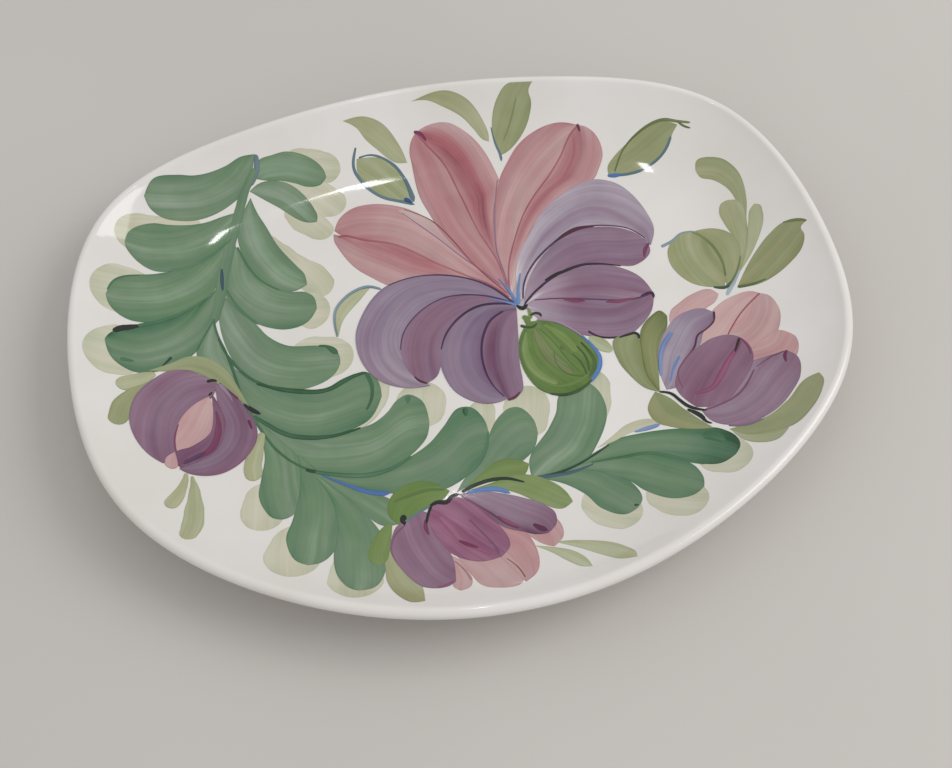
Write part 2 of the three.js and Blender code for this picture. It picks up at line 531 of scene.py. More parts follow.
FILM = 0.03  # height of the first layer of paint above the glaze, and what each further layer adds
LAYER = 0.015
ROOT_DEPTH = 0.02  # how deep a stroke's underside lies in the glaze
LEAST_HALF_WIDTH = 0.08
CELL = 1.0  # size of the cells that keep count of the layers
CELLS = 400  # cells along each side of the square that holds the plate
ROW_STEP = 0.8  # distance between a stroke's cross rows, and their least and greatest number
ROW_LIMITS = (14, 110)
COLUMN_STEP = 1.1  # distance between its columns, and how many there may be on each side of the middle
COLUMN_LIMITS = (2, 9)
CURVE_STEPS = 40  # samples of a curve for each of its points, from which its rows are taken
WOBBLES = ((23, 0.30), (9, 0.16), (4, 0.06))  # wavelengths and heights of the unevenness of an edge
FULL_WOBBLE_WIDTH = 6  # half-width from which a stroke has all of that unevenness
STREAK_SHIFT = 7.3  # how far apart in the noise the streaks of two strokes are taken

# Where along or across a stroke its colour starts or stops changing, as a share of its length or half-width.
EDGE_START = 0.1
TIP_START = 0.6
ROOT_END = 0.45
STREAK_RISE = 2.2  # steepness with which a streak comes up from the root

# Ends of a stroke: length of the end in half-widths, and the power of the superellipse that rounds it.
ROUND_END = (1.0, 2.0)
POINTED_END = (2.2, 1.25)

layers = np.zeros((CELLS, CELLS), int)
stroke_counts = {}


def run_length(points):
    """How far each point of a path lies from its start, along the path."""
    steps = np.linalg.norm(np.diff(points[:, :2], axis=0), axis=1)
    return np.concatenate([[0], np.cumsum(steps)])


def row_count(points):
    """How many cross rows a stroke through the given points has."""
    return int(np.clip(run_length(np.array(points, float))[-1] / ROW_STEP, *ROW_LIMITS))


def curve_through(stations, samples):
    """A smooth curve through rows of x, y and perhaps half-width, its samples closer at the ends."""
    stations = np.array(stations, float)
    knots = run_length(stations)
    chords = np.diff(knots)
    slopes = np.diff(stations, axis=0) / chords[:, None]
    tangents = np.empty_like(stations)
    if len(stations) > 2:
        before, after = chords[:-1, None], chords[1:, None]
        tangents[1:-1] = (slopes[:-1] * after + slopes[1:] * before) / (before + after)
        tangents[0] = 1.5 * slopes[0] - 0.5 * tangents[1]
        tangents[-1] = 1.5 * slopes[-1] - 0.5 * tangents[-2]
    else:
        tangents[:] = slopes[0]

    fine = np.linspace(0, knots[-1], CURVE_STEPS * len(stations))
    span = np.clip(np.searchsorted(knots, fine, side="right") - 1, 0, len(chords) - 1)
    h = chords[span, None]
    u = ((fine - knots[span])[:, None]) / h
    curve = (
        stations[span] * (1 + 2 * u) * (1 - u) ** 2
        + tangents[span] * h * u * (1 - u) ** 2
        + stations[span + 1] * u**2 * (3 - 2 * u)
        + tangents[span + 1] * h * u**2 * (u - 1)
    )
    run = run_length(curve)
    along = (1 - np.cos(np.linspace(0, math.pi, samples))) / 2 * run[-1]
    return np.stack([np.interp(along, run, column) for column in curve.T], 1)


def left_of(path):
    """Unit vectors to the left of someone who walks along a path."""
    tangent = np.gradient(path, run_length(path), axis=0)
    tangent /= np.linalg.norm(tangent, axis=1, keepdims=True)
    return np.stack([-tangent[:, 1], tangent[:, 0]], 1)


def rounded_end(distance, half_width, end):
    """What the width is multiplied by at a distance from the end of the stroke."""
    length = max(end[0] * half_width, LEAST_HALF_WIDTH)
    q = np.clip(1 - distance / length, 0, 1)
    return (1 - q ** end[1]) ** (1 / end[1])


def edge_wobble(along, random, width):
    """The small unevenness of a brushed edge, in millimetres."""
    wobble = np.zeros_like(along)
    for wavelength, size in WOBBLES:
        wobble += size * np.sin(along / wavelength * 2 * math.pi + random.uniform(0, 2 * math.pi))
    return wobble * min(1, width / FULL_WOBBLE_WIDTH)


def smooth(value):
    """A soft step from 0 to 1."""
    value = np.clip(value, 0, 1)
    return value * value * (3 - 2 * value)


def next_layer(x, y):
    """The first layer that is free over all of a stroke, which is then taken."""
    columns = np.round(x / CELL).astype(int) + CELLS // 2
    rows = np.round(y / CELL).astype(int) + CELLS // 2
    layer = layers[columns, rows].max() + 1
    layers[columns, rows] = layer
    return layer


def slab_faces(rows, columns):
    """Faces of a closed slab: an upper grid of rows x columns vertices, and a lower one after it."""
    index = np.arange(rows * columns).reshape(rows, columns)
    upper = np.stack([index[:-1, :-1], index[1:, :-1], index[1:, 1:], index[:-1, 1:]], -1).reshape(-1, 4)
    lower = upper[:, ::-1] + rows * columns
    rim = np.concatenate([index[0, :-1], index[:-1, -1], index[-1, :0:-1], index[:0:-1, 0]])
    onward = np.roll(rim, -1)
    side = np.stack([rim, onward, onward + rows * columns, rim + rows * columns], -1)
    return np.concatenate([upper, lower, side]).tolist()


def add_attribute(mesh, name, kind, values):
    """Stores a value for each vertex of a slab's upper grid, and the same for its lower grid."""
    attribute = mesh.attributes.new(name, kind, "POINT")
    flat = np.asarray(values, np.float32).ravel()
    field = "vector" if kind == "FLOAT_VECTOR" else "value"
    attribute.data.foreach_set(field, np.concatenate([flat, flat]))


def lay_paint(
    name, left_edge, right_edge, paint, tone=0.5, core=0.0, left=0.0, right=0.0, tip=0.0, root=0.0,
    cool=0.0, streak=(0.0, 1.0, 0.0)
):
    """A film of paint between two edges, whose rows run from the stroke's root to its tip.

    tone is how much colour there is, from 0, bare glaze, to 1, the paint's darkest. core, left, right, tip
    and root add colour there, or take it away. cool makes the paint greyer. streak is a soft line of more
    colour: its place across the stroke, from -1 at the right edge to 1 at the left, its width and its tone.
    """
    number = stroke_counts[name] = stroke_counts.get(name, 0) + 1
    seed = len(bpy.data.objects)
    middle = (left_edge + right_edge) / 2
    half = (left_edge - right_edge) / 2
    half_width = np.linalg.norm(half, axis=1)
    thin = half_width < LEAST_HALF_WIDTH
    half[thin] = left_of(middle)[thin] * LEAST_HALF_WIDTH
    half_width[thin] = LEAST_HALF_WIDTH

    columns = 2 * int(np.clip(half_width.max() / COLUMN_STEP, *COLUMN_LIMITS)) + 1
    across = np.linspace(-1, 1, columns)[None, :]
    x = middle[:, :1] + half[:, :1] * across
    y = middle[:, 1:] + half[:, 1:] * across
    glaze = face_height(x, y)
    top = glaze + FILM + LAYER * next_layer(x, y)
    upper = np.stack([x, y, top], -1).reshape(-1, 3)
    lower = np.stack([x, y, glaze - ROOT_DEPTH], -1).reshape(-1, 3)
    faces = slab_faces(len(middle), columns)
    piece = make_piece(f"{name}_{number}", np.concatenate([upper, lower]), faces, paint)

    along = run_length(middle)[:, None]
    share = along / along[-1]
    strength = (
        tone
        + core * (1 - across**2)
        + left * smooth((across - EDGE_START) / (1 - EDGE_START))
        + right * smooth((-across - EDGE_START) / (1 - EDGE_START))
        + tip * smooth((share - TIP_START) / (1 - TIP_START))
        + root * smooth((ROOT_END - share) / ROOT_END)
        + streak[2] * np.exp(-(((across - streak[0]) / streak[1]) ** 2)) * smooth(STREAK_RISE * share)
    )
    offset = half_width[:, None] * across
    flow = np.stack([along + 0 * offset, offset, np.full_like(offset, seed * STREAK_SHIFT)], -1)
    add_attribute(piece.data, "strength", "FLOAT", strength)
    add_attribute(piece.data, "rim", "FLOAT", half_width[:, None] * (1 - np.abs(across)))
    add_attribute(piece.data, "cool", "FLOAT", np.full_like(offset, cool))
    add_attribute(piece.data, "flow", "FLOAT_VECTOR", flow)


def petal(name, left_points, right_points, paint, **shade):
    """A stroke between two edges, given by points x, y from the root to the tip, where they meet or nearly."""
    rows = max(row_count(left_points), row_count(right_points))
    lay_paint(name, curve_through(left_points, rows), curve_through(right_points, rows), paint, **shade)


def brush(name, stations, paint, end=ROUND_END, **shade):
    """One stroke of the brush from its root to its tip, through rows of x, y and half-width."""
    random = np.random.default_rng(len(bpy.data.objects))
    spine = curve_through(stations, row_count(stations))
    path, half_width = spine[:, :2], spine[:, 2:]
    along = run_length(path)
    ends = rounded_end(along, stations[0][2], ROUND_END)
    ends *= rounded_end(along[-1] - along, stations[-1][2], end)
    normal = left_of(path)
    widest = max(station[2] for station in stations)
    left_edge, right_edge = (
        path + side * normal * (half_width + edge_wobble(along, random, widest)[:, None]) * ends[:, None]
        for side in (1, -1)
    )
    lay_paint(name, left_edge, right_edge, paint, **shade)


def line(name, points, paint, widths, **shade):
    """A thin line through points x, y. widths are its widths at even steps from its start to its end."""
    run = run_length(np.array(points, float))
    half_widths = np.interp(run / run[-1] * (len(widths) - 1), range(len(widths)), widths) / 2
    stations = [(*point, half) for point, half in zip(points, half_widths)]
    brush(name, stations, paint, POINTED_END, **shade)


# ---- The painting, a function for each motif ------------------------------------------------------------
# A stroke's left and right are those of someone who walks from its root to its tip.


def pale_washes():
    """Broad pale strokes that lie under the fronds' leaves and show past their tips."""
    washes = [
        [(-85, 88, 6), (-72, 90, 8), (-57.5, 91, 6)],
        [(-85, 80, 3), (-72, 79, 7), (-63, 74, 8), (-57, 68, 7)],
        [(-82, 70, 3), (-73, 64, 7), (-65, 58, 6), (-62, 54, 5)],
        [(-120, 58, 3), (-148, 47, 9), (-155.5, 46, 8.5)],
        [(-135, 18, 8), (-147, 18, 12), (-162, 17, 12)],
        [(-135, -12, 8), (-147, -13.5, 12.5), (-160, -13, 12)],
        [(-92, 54, 4), (-78, 40, 6), (-68, 32, 7.5), (-61, 22, 6.5)],
        [(-75, 12, 9), (-66, 14, 10), (-58.5, 15, 9)],
        [(-75, -10, 8), (-62, -10, 10), (-46.8, -10, 9.5)],
        [(-55, -41, 7), (-43, -35, 9.5), (-38.5, -27, 8), (-37.5, -19, 6)],
        [(-20, -45, 7), (-17, -36, 10.5), (-16, -23, 10)],
        [(6, -50, 6), (9, -42, 6), (9, -32, 5)],
        [(26, -50, 8), (28.5, -38, 9.8), (28.5, -25, 9.5)],
        [(52, -48, 6), (56, -35, 8), (57, -17, 7.5)],
        [(-80, -72, 4), (-80, -83, 8.5), (-78.5, -95.5, 8.5)],
        [(-66, -92, 5), (-65.5, -105, 10.5), (-63.5, -118.5, 10)],
        [(-41, -100, 6), (-40, -115, 10.5), (-38.5, -128, 10)],
        [(98, -62, 6), (108, -62.5, 9.5), (120, -62, 9)],
        [(78, -74, 6), (88, -81, 10.5), (100, -84, 9)],
        [(52, -76, 5), (62, -84, 10), (74, -88, 9)],
    ]
    for stations in washes:
        brush("pale_wash", stations, GHOST, tone=0.52, tip=0.1)


def fern_leaf(left_points, right_points, tone=0.5, left=0.06, right=0.1, **shade):
    """A green leaf, a little paler along its middle and darker at its edges."""
    shade |= {"tone": tone, "core": -0.05, "left": left, "right": right}
    petal("fern_leaf", left_points, right_points, FERN, **shade)


def fern_inner_leaves():
    """The leaves on the big frond's inner side, from its foot to its top."""
    fern_leaf([(30, -69), (29, -62), (38, -45), (41, -38), (42, -31), (45, -25), (54, -22)],
        [(30, -69), (47, -63.5), (54, -59.5), (58, -53), (62.5, -35), (60, -28), (54, -22)], 0.52,
        right=0.06)
    fern_leaf([(-1, -75.5), (3, -68), (7.5, -63), (10.5, -57), (12, -50), (17.5, -39), (21, -36),
        (24, -35.4), (31, -41), (33, -48)],
        [(-1, -75.5), (6, -71.5), (20, -66), (26, -61.5), (31, -56), (33, -48)], 0.54)
    fern_leaf([(-63, -65.5), (-31, -65.8), (-24, -61.5), (-12, -52), (-7, -45), (0, -35.7), (3.5, -35.3),
        (10.5, -42), (12, -47)],
        [(-63, -65.5), (-42, -73.5), (-18, -76.5), (-8, -75), (11, -56), (12, -47)], 0.62, right=0.1)
    fern_leaf([(-90, -36), (-76, -47.5), (-58, -50), (-43, -46), (-37, -43.5), (-31, -38), (-27, -32),
        (-22.5, -29.3), (-18, -31), (-13, -43)],
        [(-90, -36), (-86, -45), (-80, -53), (-66, -64.5), (-57, -67), (-32, -66), (-18, -56), (-14, -50),
        (-13, -43)], 0.52, right=0.14, tip=0.06)
    fern_leaf([(-101, -14), (-82, -26), (-74, -27.5), (-57, -26.5), (-51, -23), (-41, -18), (-37.5, -20),
        (-33.7, -30)],
        [(-101, -14), (-98, -22), (-93, -31), (-89, -37), (-68, -50), (-60, -50), (-45, -46), (-39, -42),
        (-33.7, -30)], 0.55, right=0.12, tip=0.1)
    fern_leaf([(-107, 22), (-99, 13.5), (-90, 5.5), (-86, 1), (-77, -4.3), (-63, -4.6), (-58, -5),
        (-53, -10), (-52.5, -14)],
        [(-107, 22), (-108, 12), (-106.5, 4), (-91, -21), (-68, -26.8), (-54, -18), (-52.5, -14)], 0.48,
        left=0.12, right=0.06)
    fern_leaf([(-105, 50), (-101, 44), (-98, 38), (-82, 25), (-76, 24), (-71, 24), (-67, 22), (-64.5, 15)],
        [(-105, 50), (-106.5, 30), (-106, 22), (-102, 16), (-84, 4.6), (-78, 3.9), (-68, 8),
        (-64.5, 15)], 0.49, tip=0.1)
    fern_leaf([(-98.5, 73), (-95, 66), (-91, 60), (-85, 50), (-75, 38), (-71.5, 34), (-69.8, 28)],
        [(-98.5, 73), (-103.5, 57), (-93.5, 33.5), (-83, 25), (-75, 24.5), (-69.8, 28)], 0.47, left=0.14,
        right=0.1)
    fern_leaf([(-99, 76), (-95, 80), (-83, 82), (-69.5, 71), (-67.3, 66), (-67.5, 63)],
        [(-99, 76), (-87, 70.5), (-70, 62.6), (-67.5, 63)], 0.42, left=0.1, tip=0.12, cool=0.2)
    fern_leaf([(-98, 82), (-95, 90), (-89, 93), (-83, 95.3), (-65, 89), (-64, 86.5)],
        [(-98, 82), (-92, 81.8), (-84, 82.5), (-78, 82), (-73, 81), (-66, 83), (-64, 86.5)], 0.42, tip=0.08)


def fern_outer_leaves():
    """The leaves on the big frond's outer side, from its top down, each over the one before."""
    fern_leaf([(-97, 92), (-101, 76), (-106, 70), (-127, 58), (-138, 58), (-142, 60.5), (-144.5, 65)],
        [(-97, 92), (-103, 90), (-110, 85), (-124, 78.5), (-131, 77.2), (-141, 73), (-144.5, 65)], 0.5)
    fern_leaf([(-103, 66), (-104, 58), (-113, 44), (-126, 34), (-139, 31), (-148, 36.5), (-150.5, 40),
        (-151, 42)],
        [(-103, 66), (-110, 63), (-118, 58.8), (-134, 54.7), (-140, 54), (-150.3, 46), (-151, 42)], 0.52,
        left=0.12, cool=0.1)
    fern_leaf([(-107, 52), (-107, 40), (-112, 23), (-140, 3.2), (-145, 3.3), (-153.5, 9), (-155.3, 13.5)],
        [(-107, 52), (-112, 45), (-123, 35.8), (-136, 29.8), (-152.5, 22.5), (-155.3, 13.5)], 0.53,
        right=0.12, left=0.14)
    fern_leaf([(-110, 26), (-109.5, 16), (-112, -2), (-127, -19), (-139, -22.8), (-148.5, -18),
        (-152.5, -9.5)],
        [(-110, 26), (-113, 21), (-138, 2), (-149, -3.3), (-151.5, -6.5), (-152.5, -9.5)], 0.55, right=0.26,
        left=0.12, tip=0.12)
    fern_leaf([(-110, 7), (-103, -8), (-99, -15), (-95, -28)],
        [(-110, 7), (-113, 0), (-115.5, -8), (-113, -16), (-95, -28)], 0.48)


def fern_lower_leaves():
    """The leaves that hang from the frond's foot."""
    fern_leaf([(-84, -44), (-76, -51), (-68, -59), (-63.5, -70), (-64.5, -82), (-67.5, -87)],
        [(-84, -44), (-83, -52), (-81.5, -60), (-82, -70), (-82, -79), (-79.5, -84.5), (-75, -89),
        (-71, -89.2), (-67.5, -87)], 0.54)
    fern_leaf([(-68, -58), (-58, -67), (-51, -78), (-48, -97), (-50, -105), (-54, -110), (-59, -111.7)],
        [(-68, -58), (-66, -70), (-67.5, -90), (-69, -98), (-67.5, -104), (-63.5, -110),
        (-59, -111.7)], 0.56)
    fern_leaf([(-62, -66), (-45, -79), (-29, -101), (-28.3, -109), (-33, -122.5), (-38, -124)],
        [(-62, -66), (-51.5, -82), (-49, -98), (-49.5, -106), (-45.5, -119), (-41.5, -123),
        (-38, -124)], 0.54, right=0.12)
    fern_leaf([(-62, -66), (-50, -70.5), (-40, -74.5), (-32, -77), (-25, -82), (-24, -90)],
        [(-62, -66), (-42, -82.5), (-36, -88), (-31, -91), (-24, -90)], 0.52)


def fern_stems():
    """The stem, the dark edges of the leaves, the few dark drops at their tips and one blue vein."""
    line("fern_stem", [(-96.5, 92), (-96, 86), (-99, 78)], SLATE, (2.2, 2.6, 1.6), tone=0.62)
    line("fern_stem", [(-97, 86), (-101.5, 74), (-104.5, 60), (-107.8, 34), (-108.3, 20), (-109.6, 6)],
        FERN, (3, 4, 5, 5, 3.2), tone=0.58, cool=0.2)
    line("fern_stem", [(-109, 36), (-108.5, 31), (-107.5, 24)], SLATE, (0.8, 1.8, 0.8), tone=0.85)
    line("fern_stem", [(-110, 9), (-108, 2), (-103, -8), (-94, -31)], FERN, (0.9, 1.1, 1.3), tone=0.82)
    line("fern_stem", [(-110, 8), (-113, 0), (-115.5, -8)], FERN, (0.9, 0.7), tone=0.74)
    line("fern_stem", [(-94, -31), (-86, -44), (-76, -57), (-66, -64), (-61, -66)], FERN, (1.3, 1.0, 0.9),
        tone=0.8)
    line("fern_stem", [(-64, -65.5), (-61, -66.2), (-57, -67)], INK, (1.2, 1.6, 0.6), tone=0.62)
    line("leaf_edge", [(-150, -4.5), (-148, -2.5), (-144, -0.5), (-139, 1.7)], INK, (2.2, 3, 2.4, 0.8),
        tone=0.85)
    line("leaf_edge", [(-141, 1), (-131, 6), (-114, 20)], FERN, (2, 1.8, 1.2, 0.6), tone=0.84)
    line("leaf_edge", [(-125.5, -12.5), (-127, -15), (-129, -18)], INK, (1.4, 1.1, 0.6), tone=0.62)
    line("leaf_edge", [(-145.5, -17.5), (-140, -17.5)], FERN, (2, 1), tone=0.82)
    line("leaf_edge", [(-131, 33), (-124, 35.5), (-106, 52)], FERN, (0.6, 1.4, 1.6, 0.8), tone=0.7)
    line("leaf_edge", [(-106, 25), (-101, 17), (-90, 6.5)], FERN, (0.8, 1.4, 0.8), tone=0.72)
    line("leaf_edge", [(-103, 48), (-88, 28), (-82, 25)], FERN, (1, 1.4, 0.7), tone=0.74)
    line("leaf_edge", [(-107, -1), (-102, -10), (-90, -22), (-82, -26)], FERN, (0.8, 1.3, 1.1, 1.5),
        tone=0.88)
    line("leaf_edge", [(-88, -24), (-72, -27.6), (-56, -26.5), (-51, -23), (-46, -20), (-41, -18.3)], FERN,
        (1, 2.2, 2, 2.2, 1.2), tone=0.94)
    line("leaf_edge", [(-41, -18.5), (-38.5, -24), (-38, -31), (-40, -37)], FERN, (1.6, 1.5, 0.7),
        tone=0.84)
    line("leaf_edge", [(-88, -40), (-82, -44), (-74, -48.5), (-56, -50), (-42, -45.5)], FERN,
        (1.2, 2, 2, 1.6, 0.6), tone=0.9)
    line("leaf_edge", [(-91.5, -35), (-89, -37), (-85, -39)], INK, (1.6, 2.2, 0.8), tone=0.95)
    line("leaf_edge", [(-60, -66.5), (-30, -65.5), (-20, -59)], FERN, (1.4, 2, 1.8, 0.8), tone=0.8)
    line("leaf_edge", [(0, -69), (5, -65.5), (11.3, -54), (12, -47)], FERN, (2, 2, 0.8), tone=0.78)
    line("leaf_drop", [(-22.5, -30), (-22.5, -34)], FERN, (3, 1.6), tone=0.72)
    line("leaf_drop", [(2, -36), (2.6, -40)], FERN, (3.4, 1), tone=0.88)
    line("leaf_drop", [(-62.5, -4.8), (-59, -5), (-56, -7), (-53.5, -9)], FERN, (1, 1.4, 3, 1.6), tone=0.9)
    line("leaf_drop", [(-155, 16), (-153, 21.5), (-143, 27.3)], FERN, (0.6, 1, 0.6), tone=0.72)
    line("blue_vein", [(-57, -68), (-50, -71), (-35, -76), (-28.5, -76)], BLUE, (0.5, 1.2, 2, 2.2),
        tone=0.6)


def right_frond():
    """The three leaves that lean to the right at the bottom, with their long thin stems."""
    fern_leaf([(33, -69.3), (43, -66.3), (53, -64.5), (63, -67), (71, -72), (74.5, -81), (72.5, -85)],
        [(33, -69.3), (44, -72), (52, -77), (58, -84), (68, -87.8), (72.5, -85)], 0.58, right=0.1)
    fern_leaf([(42, -66.5), (52, -61.5), (62, -58.5), (72, -58), (82, -58), (98, -68), (99.5, -73),
        (99, -78)],
        [(42, -66.5), (53, -65.5), (63, -68), (70, -71), (76, -76.5), (89, -82.5), (95, -81.5),
        (99, -78)], 0.6, left=0.1)
    fern_leaf([(43, -65.5), (60, -55), (66, -51), (75, -48.5), (95, -46.5), (110.5, -48.7), (115, -53),
        (116, -58), (113.5, -63)],
        [(43, -65.5), (60, -60.5), (70, -59.3), (86, -59), (91, -61.5), (101, -66), (107, -66.7),
        (113.5, -63)], 0.62, left=0.12, tip=0.3)
    petal("fern_bract", [(58, -55), (65, -49), (70, -44.5), (80, -41.2), (86, -42)],
        [(58, -55), (65, -52), (72, -48), (79, -46), (86, -42)], GHOST, tone=0.62)
    line("fern_stem", [(74, -47.5), (79, -46), (85, -44)], BLUE, (0.8, 2, 1.4), tone=0.32)
    line("fern_stem", [(31, -69), (40, -67), (63, -53.5)], INK, (1.2, 1.2, 0.5), tone=0.62)
    line("fern_stem", [(32, -68.8), (48, -66), (56, -62.5)], SLATE, (1.6, 1.5, 0.6), tone=0.75)
    line("leaf_edge", [(55, -62), (68, -59.5), (80, -58), (88, -60), (94, -63), (101, -66)], FERN,
        (0.8, 1.2, 1.4, 0.8), tone=0.82)
    line("leaf_drop", [(102, -51), (106, -51.5), (111, -55)], FERN, (3, 5, 2), tone=0.86)
    line("leaf_drop", [(71, -83.6), (73, -83.6)], FERN, (1.4, 1.2), tone=0.95)


def flower_heart():
    """Pale washes under the roots of the big flower's petals."""
    brush("petal_wash", [(24, 17, 3), (22, 32, 5), (19, 52, 6), (18, 68, 5)], PINK, tone=0.22)
    brush("petal_wash", [(25, 17, 3), (31, 34, 4), (37, 48, 5)], LILAC, tone=0.2)
    brush("petal_wash", [(26, 17, 3), (36, 18.5, 3.5), (46, 20, 4)], LILAC, tone=0.22)
    brush("petal_wash", [(24, 17, 3), (12, 20, 3), (0, 20, 4)], LILAC, tone=0.35)


def pink_petals():
    """The big flower's three old-rose petals, each in two halves beside a vein, and a narrow one."""
    rose = "rose_petal"
    vein = "petal_vein"
    left_vein = [(22, 21), (13, 28), (2, 33), (-8, 38), (-33, 51), (-45, 52.8), (-55, 55)]
    middle_vein = [(22, 22), (17, 40), (7, 60), (-1, 80), (-10, 98), (-16, 104), (-22, 110)]
    right_vein = [(22, 24), (22, 40), (24, 50), (30, 70), (35, 80), (42, 91), (47, 100), (53, 112),
        (56, 115)]

    petal(rose, [(22, 21), (5, 27), (-10, 26), (-32, 27), (-41, 32), (-47, 36), (-56, 47), (-58.7, 52),
        (-59.3, 56)],
        [*left_vein, (-59.3, 56)], PINK, tone=0.46, root=-0.12, left=-0.02, streak=(-0.6, 0.4, 0.22))
    petal(rose, [*left_vein, (-59, 58)],
        [(22, 21), (5, 40), (-14, 64), (-27, 71.5), (-45, 73), (-50, 71.5), (-57, 65), (-59, 58)], PINK,
        tone=0.42, left=0.06, tip=0.16)
    petal(rose, [(22, 21), (18, 27.5), (10, 35), (0, 43.5), (-17, 59), (-26, 66), (-30, 70)],
        [(22, 21), (5, 40), (-5, 54), (-21, 68.5), (-26, 70.5), (-30, 70)], PINK, tone=0.32, cool=0.5)
    petal(rose, [(22, 22), (6, 38.5), (-11, 60), (-15, 68), (-19, 76), (-24, 96), (-25, 101), (-24.3, 106),
        (-22, 110)], middle_vein, PINK, tone=0.54, left=0.05, core=0.04)
    petal(rose, middle_vein, [(22, 22), (18, 38), (15.8, 50), (15.5, 60), (15.5, 70), (17, 80), (18.2, 86),
        (16.3, 92), (4, 110), (-7, 115), (-19, 112), (-22, 110)], PINK, tone=0.52, right=-0.14, root=-0.1,
        streak=(0.25, 0.6, 0.3))
    petal(rose, [(22, 24), (17, 40), (14.7, 50), (14.5, 60), (14.8, 70), (16.5, 80), (18.5, 90), (22, 98),
        (26, 105), (49, 116.3), (56, 115)], right_vein, PINK, tone=0.43, left=0.14)
    petal(rose, right_vein, [(22, 24), (25.5, 40), (29, 50), (33, 60), (46, 78), (52, 83), (58, 86),
        (62.5, 88), (65.5, 94), (67.5, 101), (63, 112), (59, 114.5), (56, 115)], PINK, tone=0.5,
        right=-0.06, root=-0.15, streak=(0.3, 0.55, 0.24))

    line(vein, [(-57, 54.5), (-55, 55), *left_vein[-2::-1]], PINK, (1.1, 1, 0.7, 0.7, 0.7), tone=0.76)
    line(vein, [(-28, 68.5), (-10, 53), (0, 43.5), (10, 35), (18, 27.5)], PLUM, (0.4, 0.6, 0.6), tone=0.52)
    line(vein, [(-27, 70.5), (-14, 64), (-5, 54), (5, 40), (21, 23)], PINK, (0.4, 0.6, 0.6), tone=0.82)
    line(vein, middle_vein[::-1], PINK, (1.1, 0.7, 0.6, 0.6, 0.7), tone=0.76)
    line(vein, [(-23, 110), (-20, 109.5), (-17, 106.5)], MAROON, (1.3, 1.9, 0.8), tone=0.52)
    line(vein, right_vein[::-1], PINK, (1, 0.7, 0.6, 0.6, 0.7), tone=0.76)
    line(vein, [(55.5, 115.5), (56.8, 112)], MAROON, (1.6, 1), tone=0.67)
    line(vein, [(17, 88), (15.5, 62), (16.5, 46), (20, 33), (23, 22)], PLUM, (0.4, 0.6, 0.6, 0.6),
        tone=0.52)


def lilac_petals():
    """The big flower's four petals on the right, from the top down."""
    lilac = "lilac_petal"
    seam = [(28.5, 16.5), (32, 19), (48, 20.2), (76, 20), (87, 23)]
    petal(lilac, [(26.5, 18), (25.5, 40), (32, 57.5), (36, 66), (42, 74), (57, 86), (63, 88), (70, 87),
        (87, 68), (89.5, 60), (87.5, 50)],
        [(26.5, 18), (28.5, 30), (40, 49), (53, 59), (78, 59), (83, 56), (85, 53), (87.5, 50)], LILAC,
        tone=0.34, root=-0.16, left=-0.05, tip=0.06, streak=(-0.45, 0.4, 0.16))
    petal(lilac, [(28.5, 18), (30, 28), (34, 38), (54, 58.5), (83, 55), (86.5, 50.5)],
        [(28.5, 18), (32, 21.5), (37, 27.5), (50, 36.5), (57, 39.2), (66, 39.3), (80, 39), (87, 47),
        (86.5, 50.5)], PLUM, tone=0.52, root=-0.26, right=0.08, cool=0.1)
    petal(lilac, [(28.5, 16.5), (33, 22), (44, 33), (70, 38), (81, 32.5), (87, 23)], seam, PLUM, tone=0.5,
        root=-0.34, streak=(-0.3, 0.25, 0.16))
    petal(lilac, seam, [(28.5, 16.5), (33, 11), (63, -0.3), (70, -0.3), (76, 2), (81, 7), (85, 13),
        (87, 23)], PLUM, tone=0.54, root=-0.36, left=0.04, streak=(0.2, 0.4, 0.08))


def plum_petals():
    """The big flower's four petals on the left and below, from the left to the middle."""
    plum = "plum_petal"
    outer_seam = [(23, 18), (2, 22), (-8, 20.3), (-16, 15), (-25.5, 1), (-26.3, -6)]
    middle_seam = [(24, 17.3), (8, 16), (-6.5, 1), (-8.5, -15)]
    inner_seam = [(25, 14), (18, 12.5), (13, 8), (10.5, 2), (11.5, -20), (15, -26)]
    petal(plum, [*outer_seam, (-22, -15), (-13, -25)],
        [(23, 18), (15, 26), (5, 31), (-5, 32.7), (-25, 31), (-33, 27.5), (-44.5, 10), (-46.3, 2),
        (-42, -15), (-37, -21), (-22, -26.2), (-13, -25)], LILAC, tone=0.52, tip=-0.1, right=0.05)
    petal(plum, [*middle_seam, (-10, -20), (-14.5, -23.8)],
        [*outer_seam, (-25, -13), (-21, -19.5), (-17, -23), (-14.5, -23.8)], PLUM, tone=0.54, core=0.03)
    petal(plum, [*inner_seam, (21, -31)],
        [*middle_seam, (-6.5, -21), (-2, -28), (4, -32), (10, -33.8), (17, -33), (21, -31)], LILAC,
        tone=0.6, left=0.14)
    petal(plum, [(25, 14), (25.5, 0), (26, -15), (27, -22), (27, -27), (22, -32)],
        [*inner_seam, (19, -30.5), (22, -32)], PLUM, tone=0.58, left=-0.06, streak=(-0.45, 0.3, 0.2))


